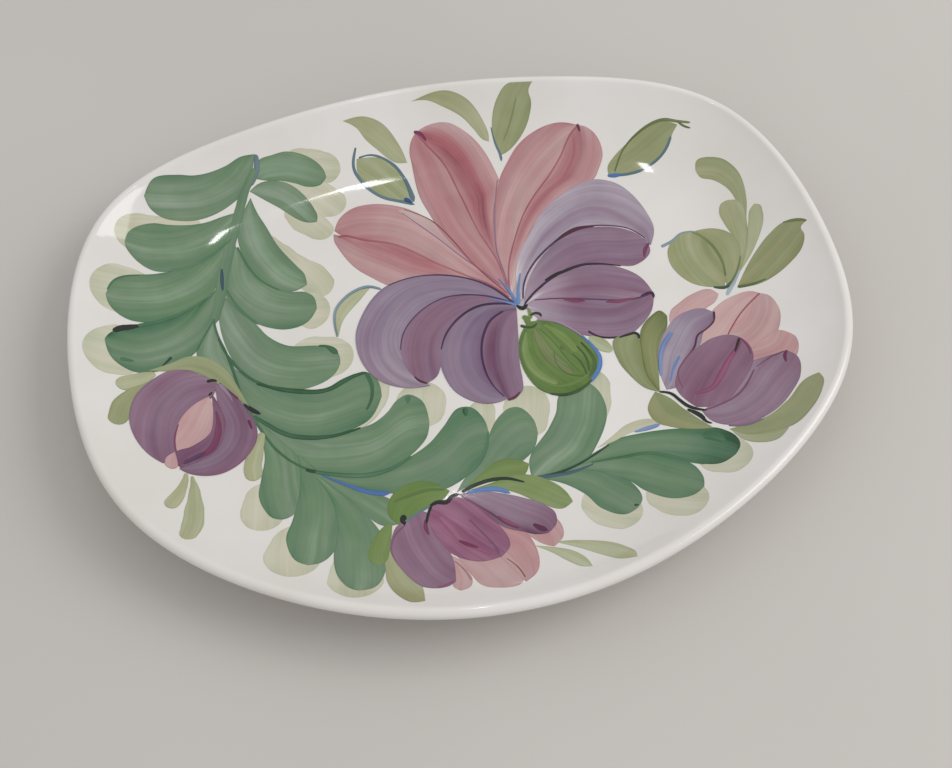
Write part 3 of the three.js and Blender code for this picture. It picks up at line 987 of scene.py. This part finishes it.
def petal_lines():
    """The dark lines between the lilac and plum petals, and the flower's centre."""
    vein = "petal_vein"
    line(vein, [(85, 54), (78, 59.3), (70, 61), (53, 59), (41, 49.5), (28.5, 28), (28, 20)], AUBERGINE,
        (0.4, 0.6, 0.8, 1, 0.7, 0.7), tone=0.66)
    line(vein, [(43, 51.5), (54, 59.3), (62, 60.8)], MAROON, (0.6, 2.4, 2.1, 0.6), tone=0.8)
    line(vein, [(86.5, 51), (84.5, 47), (84, 43)], MAROON, (1.1, 1.9, 0.6), tone=0.62)
    line(vein, [(28, 15), (29.5, 18.5), (32, 22), (57, 39), (73, 38.2)], AUBERGINE,
        (0.8, 1, 1.6, 1.8, 0.7, 0.4), tone=0.86)
    line(vein, [(38, 30), (43, 33.2), (52, 37)], AUBERGINE, (0.8, 1.7, 1.3, 0.5), tone=1.0)
    line(vein, [(33, 19.3), (44, 20.2), (58, 19.8), (80, 20.6), (85, 22.6)], AUBERGINE,
        (0.5, 0.7, 0.7, 0.9, 0.7), tone=0.66)
    line(vein, [(46, 19.8), (51, 19), (56, 18.8)], MAROON, (0.6, 2, 0.6), tone=0.5)
    line(vein, [(65, 18.3), (71, 18.8), (78, 20.4)], MAROON, (0.6, 2, 0.8), tone=0.56)
    line(vein, [(81, 21.5), (84, 23), (86, 23.3), (86.8, 20.5)], AUBERGINE, (0.6, 1.1, 1.6, 0.8), tone=0.84)
    line(vein, [(56.5, 2.8), (58.5, 1.3), (77.5, 1.6)], AUBERGINE, (1.2, 0.7, 0.7, 1), tone=0.84)
    line(vein, [(25, 16.5), (12, 27.3), (-24, 31.2), (-33, 27.3)], AUBERGINE, (1.1, 0.9, 0.6, 0.6, 0.4),
        tone=0.72)
    line(vein, [(24, 17.5), (10, 21.7), (-8, 20.3), (-25.7, 0), (-26.3, -7)], AUBERGINE,
        (0.8, 0.7, 0.6, 0.6, 0.4), tone=0.64)
    line(vein, [(25, 16.8), (8, 16), (-6.5, 1), (-8.5, -7)], AUBERGINE, (0.9, 1.2, 1.2, 1, 0.6), tone=0.76)
    line(vein, [(19, 13.3), (13, 8), (10.5, 2), (15, -26), (19, -30.5)], AUBERGINE,
        (1.1, 1.2, 0.9, 0.8, 0.5), tone=0.74)
    line(vein, [(20.5, -32), (23, -31), (26, -28)], MAROON, (0.8, 1.3, 0.6), tone=0.76)
    line(vein, [(-20, -20.5), (-17, -23), (-14, -24)], MAROON, (0.5, 1.1, 0.8), tone=0.72)
    line("blue_vein", [(25.5, 16.5), (22.5, 23), (17, 31)], BLUE, (1.8, 1.1, 0.5), tone=0.42)
    line("blue_vein", [(26, 17.5), (26, 26), (27, 34)], BLUE, (1.6, 1.2, 0.5), tone=0.36)
    line("blue_vein", [(25.5, 16.5), (20, 18.3), (13, 20)], BLUE, (1.4, 0.6), tone=0.42)
    line("flower_centre", [(25, 16.4), (27.5, 14.9), (30, 17)], INK, (0.8, 2, 1), tone=1.0)


def green_bud():
    """The big flower's round green bud."""
    vein = "bud_vein"
    brush("sepal", [(57, 0, 1), (62, -4, 3), (66.5, -7.5, 1.2)], OLIVE, tone=0.36)
    petal("bud", [(30, 7.5), (36, 8.3), (53, 0), (57, -4), (60.3, -15), (57, -22)],
        [(30, 7.5), (27, 2), (29, -20), (34, -26.5), (40, -29.5), (52, -27), (57, -22)], BUD_GREEN,
        tone=0.62, right=0.08, tip=0.12, left=0.06, cool=-0.2)
    brush(vein, [(32.5, 4, 1), (36, -5, 2.2), (42, -13, 3), (49, -19, 1.4)], OLIVE, tone=0.78, cool=0.4)
    brush(vein, [(29, 2, 0.6), (28.6, -8, 1.6), (33, -18, 2), (42, -24, 1)], BUD_GREEN, tone=0.42,
        cool=-0.4)
    brush(vein, [(37, 6, 0.6), (45, 0, 1.8), (51, -8, 1.4)], BUD_GREEN, tone=0.44, cool=-0.2)
    line(vein, [(29, 4), (26.6, -4), (27, -13), (37, -26.3), (44, -28)], BUD_GREEN, (0.6, 0.7, 0.8, 0.7),
        tone=0.72)
    line(vein, [(31.5, 3), (32, -6), (36, -15), (42, -21)], BUD_GREEN, (0.5, 0.7, 0.5), tone=0.64)
    line(vein, [(35, 4), (41, -3), (47, -12), (52, -18)], BUD_GREEN, (0.5, 0.7, 0.8), tone=0.68)
    line(vein, [(41, -8), (42, -14), (46, -18.8), (56, -20)], BUD_GREEN, (0.5, 0.6, 1), tone=0.76)
    line(vein, [(34, -22), (42, -25.5), (50, -23.5), (56, -19)], BUD_GREEN, (0.8, 1.8, 1), tone=0.6)
    line(vein, [(53, -3), (58.5, -15), (56, -20.5)], BUD_GREEN, (0.7, 1.8, 1.6, 1), tone=0.86)
    line(vein, [(51, -5), (55, -11), (56, -18)], BUD_GREEN, (0.5, 0.9, 0.8), tone=0.84)
    line(vein, [(49, -9), (53, -14), (55, -19.5)], BUD_GREEN, (0.4, 0.8, 0.8), tone=0.82)
    line(vein, [(44, -5), (45.4, -7)], OLIVE, (1.6, 1.2), tone=0.84)
    line(vein, [(53, 1), (58, -5), (60.8, -10), (60.5, -16), (56, -23.5)], BLUE, (0.8, 1.4, 1.8, 2, 1.2),
        tone=0.46)
    line(vein, [(34, 8.8), (42, 7.8), (54, 0)], LILAC, (1, 1.2, 0.8), tone=0.44)
    line(vein, [(39, -29), (44, -29.6), (54, -25.3), (57, -22)], BUD_GREEN, (0.7, 1.2, 1.2, 0.8), tone=0.9)
    line("calyx", [(26.5, 5.8), (32, 5), (34, 7)], BUD_GREEN, (1.2, 0.8, 1.2, 0.6), tone=0.84)
    line("calyx", [(27.5, 10.5), (29.5, 9), (29.3, 6)], BUD_GREEN, (1.4, 3, 1.6), tone=0.56)
    line("calyx", [(31, 9.5), (31, 12), (30, 15)], BUD_GREEN, (2, 1.4, 0.8), tone=0.5)
    line("calyx", [(31, 10.8), (33, 12.2), (35.3, 11.8), (36, 10.3)], INK, (0.8, 1.3, 1.1), tone=0.7)


def crescent_leaf():
    """The thin leaf at the big flower's left."""
    petal("crescent_leaf", [(-54, 0), (-55.5, 15), (-52, 20.5), (-47, 25), (-41, 26.3)],
        [(-54, 0), (-52.5, 8), (-45, 20), (-41, 26.3)], OLIVE, tone=0.3)
    line("leaf_outline", [(-54.5, 0), (-55.7, 15), (-41, 26.7), (-36, 25.3)], SLATE, (0.6, 1.1, 1.5, 1.0),
        tone=0.42)


def rosebud():
    """The round plum bud at the left, in its sepals, with two drops below."""
    sepal = "sepal"
    brush(sepal, [(-131, -22, 1), (-137, -26.5, 3.4), (-145, -31, 3)], OLIVE, tone=0.35)
    brush(sepal, [(-131, -26, 1), (-141, -42, 4), (-141.8, -51, 3.4)], OLIVE, tone=0.55)
    brush(sepal, [(-83.5, -48, 1), (-85.5, -58, 3.3), (-86, -64, 3.8), (-84.5, -71, 3.2)], OLIVE, tone=0.4)
    petal(sepal, [(-134, -21), (-127, -20), (-119, -18.3), (-107, -23), (-101, -28), (-95, -32),
        (-90, -36)],
        [(-134, -21), (-126, -16), (-119, -11.5), (-112, -11), (-101, -18), (-97, -24), (-90, -36)], OLIVE,
        tone=0.56, root=-0.1, cool=0.6)
    bud = "bud_petal"
    inner_left = [(-112, -34), (-118.5, -45), (-119, -51)]
    inner_right = [(-105.5, -36), (-104.8, -42), (-105, -48), (-112, -56.5)]
    petal(bud, [(-105, -24), (-106, -30), (-110, -36), (-114, -45), (-115, -54), (-118, -62),
        (-121.5, -66.3)],
        [(-105, -24), (-112, -20.5), (-118, -18.5), (-124, -19), (-133, -27), (-136.5, -33), (-137.5, -47),
        (-126, -64), (-121.5, -66.3)], PLUM, tone=0.58, right=-0.08, tip=0.1, cool=-0.1)
    petal(bud, [(-106, -24), (-101, -26.5), (-91, -37), (-87, -43), (-85.5, -49), (-101, -69.5),
        (-112, -69.5), (-115, -68)],
        [(-106, -24), (-103, -36), (-101, -41), (-100.5, -53), (-115, -68)], PLUM, tone=0.6, left=0.08)
    petal(bud, [(-107.8, -31), *inner_right, (-117, -60)],
        [(-107.8, -31), *inner_left, (-118.3, -56), (-117, -60)], PINK, tone=0.34)
    petal(bud, [(-107, -29), (-99.5, -44), (-101, -56), (-114.5, -67.5)],
        [(-107, -29), *inner_right, (-117.5, -60), (-117.5, -64), (-114.5, -67.5)], PLUM, tone=0.72,
        cool=-0.2)
    petal(bud, [(-118, -60), (-116.5, -64), (-116, -67.5), (-118, -68.5)],
        [(-118, -60), (-121, -64), (-120.5, -67), (-118, -68.5)], PINK, tone=0.42)
    vein = "petal_vein"
    line(vein, [(-104, -38), (-102, -48), (-103, -55), (-114, -64.5)], MAROON, (0.8, 2.6, 3, 3, 1.2),
        tone=0.6)
    line(vein, [(-109.5, -23.7), (-107, -22.8), (-105, -23.2)], INK, (1.3, 1.6, 0.8), tone=0.95)
    line(vein, [(-108, -30.5), (-106.5, -28.5)], INK, (0.8, 1.1), tone=0.9)
    line(vein, [(-106, -58.5), (-110, -62), (-114, -65.5)], AUBERGINE, (1, 2, 1), tone=0.62)
    line(vein, [(-118.5, -46), (-119, -53), (-117.5, -60)], MAROON, (0.4, 0.7, 0.6), tone=0.42)
    line(vein, [(-104, -24), (-100, -27.5), (-95, -32)], MAROON, (0.6, 0.8, 1.1), tone=0.62)
    line(vein, [(-92.5, -34.3), (-89, -37.5)], INK, (1.3, 1.1), tone=0.9)
    line(vein, [(-90, -42), (-88, -46.5)], MAROON, (1.3, 0.8), tone=0.72)
    line(vein, [(-104, -24.5), (-100, -29), (-97.5, -33)], LILAC, (1.6, 1.3, 0.5), tone=0.42)
    drop = "dew_drop"
    brush(drop, [(-112, -70, 0.5), (-112.3, -77, 1.7), (-113.8, -83, 2.8), (-115.5, -88.5, 2.6)], OLIVE,
        tone=0.35)
    brush(drop, [(-109.7, -71, 0.5), (-105.6, -98, 3.8), (-106.5, -104, 3)], OLIVE, tone=0.38)


def right_flower():
    """The flower at the right edge: olive sepals, pink petals behind and plum petals before."""
    sepal = "sepal"
    petal(sepal, [(114, -50), (122, -51), (129, -51), (135, -54)],
        [(114, -50), (118, -56), (130, -59), (135, -54)], OLIVE, tone=0.46)
    petal(sepal, [(113, -49), (120, -47.5), (129, -45), (137, -39), (147, -28.5), (151, -27.5)],
        [(113, -49), (119, -53), (128, -54), (137, -53), (145, -46), (150, -38), (152, -31), (151, -27.5)],
        OLIVE, tone=0.56)
    petal(sepal, [(84, -28), (90, -31), (95, -36), (107, -47.5)],
        [(84, -28), (80.5, -38), (83, -42.5), (90, -45.5), (107, -47.5)], OLIVE, tone=0.68)
    petal(sepal, [(86, -28), (82, -20), (80, -10), (79.5, -3), (77, 1.5)],
        [(86, -28), (80, -26), (74, -20), (69, -12), (68, -1), (72, 1), (77, 1.5)], OLIVE, tone=0.7,
        left=0.12)
    line("leaf_outline", [(70, -0.5), (74, 1), (78, 1.8), (79, -1)], INK, (0.8, 1.4, 1), tone=0.8)
    rose = "rose_petal"
    petal(rose, [(98, 0), (93, 8), (94, 14), (98, 18), (103, 22), (113, 24.7), (116, 22)],
        [(98, 0), (110, 15), (114, 18), (116, 22)], PINK, tone=0.32, cool=0.1)
    petal(rose, [(106, -4), (106.5, 4), (110, 10.5), (121, 20), (131, 21.5), (133.5, 20)],
        [(106, -4), (118, 0), (122, 6), (129, 16.5), (133.5, 20)], PINK, tone=0.28)
    petal(rose, [(118, 0), (129, 16.5), (133.5, 20)],
        [(118, 0), (118, -6), (126, -10), (134, -7), (140.5, 11), (136, 19), (133.5, 20)], PINK, tone=0.38)
    petal(rose, [(124, -12), (134, -2.5), (139, -0.5), (142, -2)],
        [(124, -12), (131, -17), (144, -16), (145, -5), (142, -2)], PINK, tone=0.4)
    plum = "plum_petal"
    petal(plum, [(89, -27), (86, -12), (90, 2), (99, 12.5), (109, 14.7), (113, 12.5)],
        [(89, -27), (97, -24), (101, -15), (104, -9), (106, -3), (108, 3), (111, 6), (113, 12.5)], LILAC,
        tone=0.42, right=0.16, tip=0.12)
    petal(sepal, [(86, -28), (81, -20), (79.5, -10), (81, 6), (85, 11), (89, 13.7), (92, 11)],
        [(86, -28), (86.2, -18), (86.5, -8), (89, 0), (91.5, 5), (92, 11)], OLIVE, tone=0.76, tip=0.1,
        left=0.06)
    petal(plum, [(103, -38), (117, -28), (122, -21), (126, -15), (132, -13.3), (141, -12)],
        [(103, -38), (106, -43), (119, -47.5), (134, -41), (140, -34), (144, -27), (144, -15), (141, -12)],
        PLUM, tone=0.44, tip=0.1)
    petal(plum, [(101, -36), (93, -25), (95, -17), (105, -5), (111, -1), (120, 0), (123, -1.5)],
        [(101, -36), (108, -36), (115, -33), (120, -27), (124, -21), (127, -15), (126, -5), (123, -1.5)],
        PLUM, tone=0.58, core=0.04, cool=-0.8)
    vein = "petal_vein"
    line(vein, [(133.5, 20), (125, 11.5), (118, 0.5)], PINK, (0.6, 0.6, 0.5), tone=0.8)
    line(vein, [(101, -29), (108, -27), (113, -20), (117, -13), (121, -7), (123, -3)], MAROON,
        (1.2, 2.2, 3, 2.6, 2.2, 1.1), tone=0.42)
    line(vein, [(122.6, -1.8), (121.5, -5), (120, -9)], MAROON, (1, 1.3, 0.6), tone=0.88)
    line(vein, [(123, -2), (125.5, -6), (126.5, -11)], MAROON, (0.6, 0.8, 0.4), tone=0.52)
    line(vein, [(113, 13), (112.5, 8), (109, 4), (105, 1), (103, -5), (99, -10.5)], MAROON,
        (0.9, 0.6, 0.9, 0.6), tone=0.8)
    line(vein, [(96, -26), (94.5, -19), (98, -12), (103, -6)], PLUM, (0.5, 0.7, 0.5), tone=0.66)
    line(vein, [(141, -11.8), (140, -14), (140, -18)], MAROON, (1, 1.6, 0.6), tone=0.66)
    line(vein, [(128, -18), (133, -14.6), (140, -12)], PLUM, (0.4, 0.6, 0.6), tone=0.72)
    line(vein, [(104, -38), (119, -31), (127, -19)], PLUM, (0.6, 1, 0.6), tone=0.7)
    line(vein, [(113, -47), (120, -48), (127, -46.3)], LILAC, (0.8, 1.1, 0.6), tone=0.72)
    line("blue_vein", [(93.5, 2), (90, -3), (87, -20)], BLUE, (1.6, 1.8, 0.9), tone=0.42)
    line("blue_vein", [(96, -10), (93, -16), (91, -23)], BLUE, (1.2, 1.2, 0.6), tone=0.36)
    line("calyx", [(86, -28), (91, -29), (94, -32), (97, -35), (105, -38)], INK, (0.8, 1.2, 1.4, 1.5, 0.8),
        tone=0.96)
    line("calyx", [(97, -37), (103, -41.5), (104, -43.5), (106.5, -45)], INK, (0.9, 1.6, 2.2, 1.1, 0.8),
        tone=0.94)


def sprig():
    """The olive sprig at the upper right, with a round bud and a pointed one."""
    leaf = "olive_leaf"
    line("sprig_stem", [(119.5, 21), (123, 28), (127, 37)], SLATE, (1.6, 2.6, 1.4), tone=0.14)
    petal(leaf, [(126.5, 33), (128.5, 50), (129.5, 60), (128, 68), (124, 77), (118, 82.5), (112.5, 85),
        (110.5, 89)],
        [(126.5, 33), (131.5, 48), (131.3, 60), (132, 68), (127.5, 87), (122, 92.5), (111, 93.3),
        (110.5, 89)], OLIVE, tone=0.5, tip=0.04)
    petal(leaf, [(126, 33), (124.5, 52), (121.5, 59), (119.7, 65), (121, 69.7), (123.5, 70.8)],
        [(126, 33), (130, 46), (131, 58), (130.5, 65), (127.5, 70), (123.5, 70.8)], OLIVE, tone=0.4)
    petal(leaf, [(126.5, 33), (130.5, 46), (132, 58), (133, 63.5), (135, 66)],
        [(126.5, 33), (134, 45), (138.3, 61), (137.3, 65), (135, 66)], OLIVE, tone=0.38)
    petal("olive_bud", [(120.5, 25), (118, 33), (113, 50), (108, 56.8)],
        [(120.5, 25), (124.5, 33), (127.2, 41), (126.5, 49), (122.5, 54.5), (116, 57.3), (108, 56.8)],
        OLIVE, tone=0.5, left=0.12)
    petal("olive_bud", [(119, 25.5), (104, 29), (95.5, 40), (95, 46.5), (101.5, 56), (106, 57)],
        [(119, 25.5), (119, 40), (111, 53.5), (106, 57)], OLIVE, tone=0.5, right=0.1)
    petal(leaf, [(124.5, 25), (134, 42), (140, 49), (146, 53), (155.5, 50.5)],
        [(124.5, 25), (131, 24.5), (147, 32), (152.5, 38), (154, 44), (153, 48.5), (155.5, 50.5)], OLIVE,
        tone=0.57, right=0.06, cool=-0.2)
    line("leaf_outline", [(106, 57), (111, 53.5), (118.8, 40), (119.8, 31)], OLIVE, (0.6, 1.4, 1.2, 0.8),
        tone=0.76)
    line("leaf_outline", [(114, 26), (120.5, 26), (122, 28.5)], INK, (0.8, 1.6, 1.6, 0.8), tone=0.42)
    line("leaf_outline", [(121, 26), (125, 33), (127.3, 41)], OLIVE, (1, 0.9, 0.7), tone=0.84)
    line("leaf_outline", [(92.3, 49), (98, 52.5), (101.5, 56), (108, 56.5)], SLATE, (1.6, 1.4, 0.8, 0.6),
        tone=0.4)
    line("leaf_outline", [(146, 53), (151, 52.5), (155.5, 50.5)], OLIVE, (0.6, 1.6, 0.8), tone=0.8)
    line("leaf_outline", [(124.5, 25), (130, 25.2), (137, 26.8)], OLIVE, (1.6, 1.4, 0.6), tone=0.86)


def top_leaves():
    """The five olive leaves along the top edge, some outlined in slate blue."""
    leaf = "olive_leaf"
    outline = "leaf_outline"
    petal(leaf, [(-24, 122), (-4, 127), (2, 125), (10.5, 116), (12.8, 111), (13, 107.5)],
        [(-24, 122), (-16, 123), (-10, 121.5), (1, 117), (6, 112.5), (10, 108.5), (13, 107.5)], OLIVE,
        tone=0.4)
    petal(leaf, [(18.5, 101), (16, 106), (17, 126), (20, 130), (30, 132.7), (34.5, 133)],
        [(18.5, 101), (22, 103), (26, 107), (32.5, 119), (33.3, 125), (32, 129), (34.5, 133)], OLIVE,
        tone=0.5, right=0.06)
    petal(leaf, [(-56.5, 111), (-45, 114), (-39, 112.7), (-30, 104), (-26, 96)],
        [(-56.5, 111), (-50, 109), (-46, 105), (-41, 101.5), (-30, 95.5), (-26, 96)], OLIVE, tone=0.38)
    petal(leaf, [(-50, 96), (-38, 97), (-29, 90), (-24, 78), (-23, 75)],
        [(-50, 96), (-49.5, 90), (-46, 84.5), (-29, 75.5), (-23, 75)], OLIVE, tone=0.46)
    petal(leaf, [(70, 90), (69.8, 95), (73, 100), (78, 105), (90, 113), (96, 114.5), (103, 112)],
        [(70, 90), (90, 95), (95, 99.5), (99, 104), (100.5, 108), (103, 112)], OLIVE, tone=0.54)
    line(outline, [(14, 114), (16, 107), (18.5, 101), (19, 98)], SLATE, (0.5, 1.0, 1.4), tone=0.5)
    line(outline, [(26, 126), (23.5, 117), (20, 108)], OLIVE, (0.5, 0.9, 0.6), tone=0.7)
    line(outline, [(-49, 96.5), (-44, 98.3), (-32, 94), (-28, 89), (-22.5, 75)], SLATE,
        (0.8, 1.2, 1.8, 2.5), tone=0.66)
    line(outline, [(-50.5, 101), (-51, 91), (-48, 86), (-36, 77), (-29, 75.3), (-22, 73.5)], SLATE,
        (0.9, 1.6, 1.4, 1.6, 1.6), tone=0.58)
    line(outline, [(-27, 77), (-23, 74.2)], BLUE, (2.0, 3.0), tone=0.85)
    line(outline, [(73, 92), (78, 104), (97, 115), (103, 113.5), (109, 112)], OLIVE,
        (0.8, 0.8, 1.2, 1.4, 0.9), tone=0.84)
    line(outline, [(103, 113.5), (106, 111), (109, 109.5)], OLIVE, (0.7, 1, 0.6), tone=0.84)
    line(outline, [(70, 90), (86, 92.3), (97, 101), (100, 107.5)], SLATE, (1.6, 1.4, 1.4, 1.2), tone=0.66)
    line(outline, [(69.5, 90), (73, 90), (76, 90.4)], BLUE, (1.4, 2.4, 1.4), tone=0.6)


def bottom_flower():
    """The flower at the bottom: olive sepals, pink petals below and plum ones above."""
    sepal = "sepal"
    petal(sepal, [(-31, -100), (-24, -106), (-19, -113), (-14, -121), (-12.5, -129)],
        [(-31, -100), (-29, -110), (-27.5, -119), (-23, -126), (-17, -129.8), (-12.5, -129)], OLIVE,
        tone=0.5)
    brush(sepal, [(-28, -90, 1), (-31.8, -105, 4.2), (-31, -110, 3.4)], BUD_GREEN, tone=0.5)
    petal(sepal, [(-4, -75), (-7, -79), (-12, -81.5), (-17, -85), (-20.5, -89), (-24.5, -90.5)],
        [(-4, -75), (-15, -70.5), (-27, -76), (-29.5, -82), (-28.5, -87), (-24.5, -90.5)], BUD_GREEN,
        tone=0.56, right=0.08, cool=-0.6)
    line("bud_vein", [(-27, -80), (-20, -77), (-12, -74.5), (-6, -74.5)], BUD_GREEN, (1, 2, 0.8), tone=0.7)
    petal(sepal, [(3, -73.5), (9, -67), (15, -61.5), (22, -60), (29, -62.5)],
        [(3, -73.5), (12, -70), (21, -68.5), (27, -67.5), (29, -62.5)], BUD_GREEN, tone=0.56, cool=0.1)
    petal(sepal, [(3, -75), (14, -71), (23, -67.5), (33, -68.5), (44, -75.5), (46.5, -80)],
        [(3, -75), (14, -73.5), (24, -76), (32, -80), (43, -83), (46.5, -80)], BUD_GREEN, tone=0.42,
        left=0.06, cool=0.2)
    rose = "rose_petal"
    petal(rose, [(12, -86), (34, -86), (39.5, -88), (42, -96.5), (38, -102)],
        [(12, -86), (20, -90), (28, -96), (34, -100.5), (38, -102)], PINK, tone=0.4)
    petal(rose, [(5, -95), (15, -88), (21, -89), (30, -116), (26, -120)],
        [(5, -95), (8, -105), (17, -106), (22, -112), (26, -120)], PINK, tone=0.46)
    petal(rose, [(-3, -101), (8, -101), (17, -103), (22.5, -109), (26, -116), (24, -121), (19, -122.5)],
        [(-3, -101), (5, -115), (9, -120.5), (19, -122.5)], PINK, tone=0.38)
    petal(rose, [(-6, -104), (0, -107), (3, -112), (5.5, -117.5), (5, -121), (1, -123.5)],
        [(-6, -104), (-1.5, -116), (-2, -121), (1, -123.5)], PINK, tone=0.4)
    plum = "plum_petal"
    petal(plum, [(-21, -88.5), (-14, -84.5), (-10, -89), (-7, -96), (-2, -108), (-1, -118.5)],
        [(-21, -88.5), (-25, -91), (-27, -96), (-27.5, -102), (-22, -113), (-13, -121.5), (-3, -120.5),
        (-1, -118.5)], PLUM, tone=0.54, tip=0.12, root=-0.04, cool=-0.5)
    petal(plum, [(0, -76.5), (8, -75), (17, -76), (26, -78), (34, -81), (39, -85), (39.5, -90), (36, -95)],
        [(0, -76.5), (12.5, -87.5), (19, -92), (26, -94), (31, -95.4), (36, -95)], PLUM, tone=0.38,
        right=0.26, tip=0.26, cool=0.1)
    petal(plum, [(-12, -83), (0, -78), (6, -81), (12, -86), (20, -102), (17, -106)],
        [(-12, -83), (-12, -90), (-8, -98), (-3, -104), (10, -108.2), (17, -106)], MAROON, tone=0.33,
        core=0.03, cool=0.3)
    vein = "petal_vein"
    line(vein, [(-8, -87), (-3, -93), (1, -98), (7, -101.5), (13, -105)], MAROON, (1.3, 3.2, 2.9, 2.1, 0.8),
        tone=0.38)
    line(vein, [(0, -98), (4, -100), (8, -101.5)], MAROON, (0.8, 1.6, 0.6), tone=0.62)
    line(vein, [(-9, -84), (-2, -88), (5, -93)], MAROON, (0.6, 2.1, 0.6), tone=0.3)
    line(vein, [(4, -88), (10, -95), (15, -102), (16, -105)], PLUM, (0.6, 0.8, 1.3), tone=0.78)
    line(vein, [(30, -90.5), (33, -92.5), (36, -94)], MAROON, (1, 2.7, 1.6), tone=0.74)
    line(vein, [(1, -77.5), (14, -86), (19, -90), (24, -92.5)], PLUM, (0.5, 0.7, 1, 0.5), tone=0.76)
    line(vein, [(16, -86.5), (20, -89.5), (25, -92)], MAROON, (0.8, 1.8, 0.6), tone=0.42)
    line(vein, [(-13.5, -88), (-13.5, -92), (-12, -95.5)], MAROON, (1.3, 1.8, 0.6), tone=0.54)
    line(vein, [(-22, -91), (-26, -96), (-27, -102), (-25, -108)], PLUM, (0.6, 0.8, 0.5), tone=0.72)
    line(vein, [(-8, -121.5), (-4, -120), (-1.5, -118)], MAROON, (0.6, 1.1, 0.6), tone=0.42)
    line(vein, [(-1.5, -108), (2, -112), (5, -118)], PINK, (0.4, 0.6, 0.5), tone=0.7)
    line(vein, [(19, -107), (23.5, -112), (26, -117.5)], PINK, (0.4, 0.6, 0.7), tone=0.78)
    line(vein, [(-22.5, -86), (-22.8, -88), (-22, -91)], INK, (2.1, 2.9, 1.9), tone=1.0)
    line(vein, [(-12, -82), (-9.5, -80.3), (-5, -80), (-3, -77.5), (0, -76.5)], INK, (1.1, 2.1, 2.1, 1.3),
        tone=1.0)
    line(vein, [(-11.5, -82), (-12.8, -86), (-13.3, -90)], INK, (1.3, 1), tone=0.9)
    line(vein, [(-22, -89), (-16, -84.5), (-12, -82)], SLATE, (0.8, 1.1, 0.8), tone=0.5)
    line("blue_vein", [(3, -76), (17, -74.5), (21, -76)], BLUE, (1.2, 2.2, 2.2, 1.6), tone=0.5)
    line("calyx", [(1, -75.5), (6, -72.5), (20, -69.4), (27, -71)], INK, (1.2, 1.7, 1.8, 1.3, 0.6),
        tone=0.82)
    drop = "dew_drop"
    petal(drop, [(30, -101), (38, -102.3), (45, -104.5), (50, -109), (52, -114)],
        [(30, -101), (37, -105), (43, -110), (48, -113.5), (52, -114)], OLIVE, tone=0.32)
    petal(drop, [(38, -99.5), (49, -99.5), (65, -104.5), (69, -109), (69, -111.5)],
        [(38, -99.5), (48, -103.5), (56, -108), (63, -111.5), (69, -111.5)], OLIVE, tone=0.32)


# ---- The whole plate ------------------------------------------------------------------------------------

clay = turned_piece("earthenware_body", clay_profile(), CLAY)
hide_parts("clay_body")
coat = turned_piece("glaze_coat", glaze_profile(), GLAZE_WHITE)
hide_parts("face_glaze", "back_glaze")
recess_coat = turned_piece("recess_glaze_coat", recess_profile(), GLAZE_WHITE)
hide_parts("foot_recess_glaze")

pale_washes()
fern_inner_leaves()
fern_outer_leaves()
fern_lower_leaves()
fern_stems()
right_frond()
flower_heart()
pink_petals()
lilac_petals()
plum_petals()
petal_lines()
green_bud()
crescent_leaf()
rosebud()
right_flower()
sprig()
top_leaves()
bottom_flower()


# ---- Floor and light ------------------------------------------------------------------------------------

FLOOR_SIZE = 20.0  # metres, as are the lights' distances and sizes
WINDOW_FROM = Vector((0.7, 0.05, 0.71))
WINDOW_DISTANCE = 1.6
WINDOW_SIZE = (1.0, 0.8)
WINDOW_POWER = 9.2
ROOM_LIGHT = 0.74
SKYLIGHT_FROM = Vector((0, 0.329, 0.944))
SKYLIGHT_DISTANCE = 1.22
SKYLIGHT_SIZE = (0.03, 0.09)
SKYLIGHT_POWER = 0.2


def add_floor():
    """A pale matt floor at the height of the foot ring."""
    half = FLOOR_SIZE / 2
    mesh = bpy.data.meshes.new("floor")
    corners = [(-half, -half, 0), (half, -half, 0), (half, half, 0), (-half, half, 0)]
    mesh.from_pydata(corners, [], [(0, 1, 2, 3)])
    floor = bpy.data.objects.new("floor", mesh)
    material = start_material("floor")
    tree = material.node_tree
    place = add_node(tree, "TexCoord").outputs["Object"]
    stops = [(0.3, seen(186, 182, 177)), (0.7, seen(192, 188, 183))]
    colour = colour_ramp(tree, noise(tree, place, 3.0), stops)
    finish_material(material, {"Base Color": colour, "Roughness": 0.9})
    mesh.materials.append(material)
    bpy.context.scene.collection.objects.link(floor)


def add_area_light(name, direction, distance, size, power):
    """A rectangular light that faces the plate."""
    light = bpy.data.lights.new(name, "AREA")
    light.shape = "RECTANGLE"
    light.size, light.size_y = size
    light.energy = power
    lamp = bpy.data.objects.new(name, light)
    direction = direction.normalized()
    lamp.location = direction * distance
    lamp.rotation_euler = direction.to_track_quat("Z", "Y").to_euler()
    bpy.context.scene.collection.objects.link(lamp)


def add_room_light():
    """Even white light from all round."""
    world = bpy.data.worlds.new("room")
    world.use_nodes = True
    background = world.node_tree.nodes["Background"]
    background.inputs["Color"].default_value = (1, 1, 1, 1)
    background.inputs["Strength"].default_value = ROOM_LIGHT
    bpy.context.scene.world = world


add_floor()
add_room_light()
add_area_light("window", WINDOW_FROM, WINDOW_DISTANCE, WINDOW_SIZE, WINDOW_POWER)
add_area_light("skylight", SKYLIGHT_FROM, SKYLIGHT_DISTANCE, SKYLIGHT_SIZE, SKYLIGHT_POWER)
bpy.context.scene.view_settings.view_transform = "Standard"
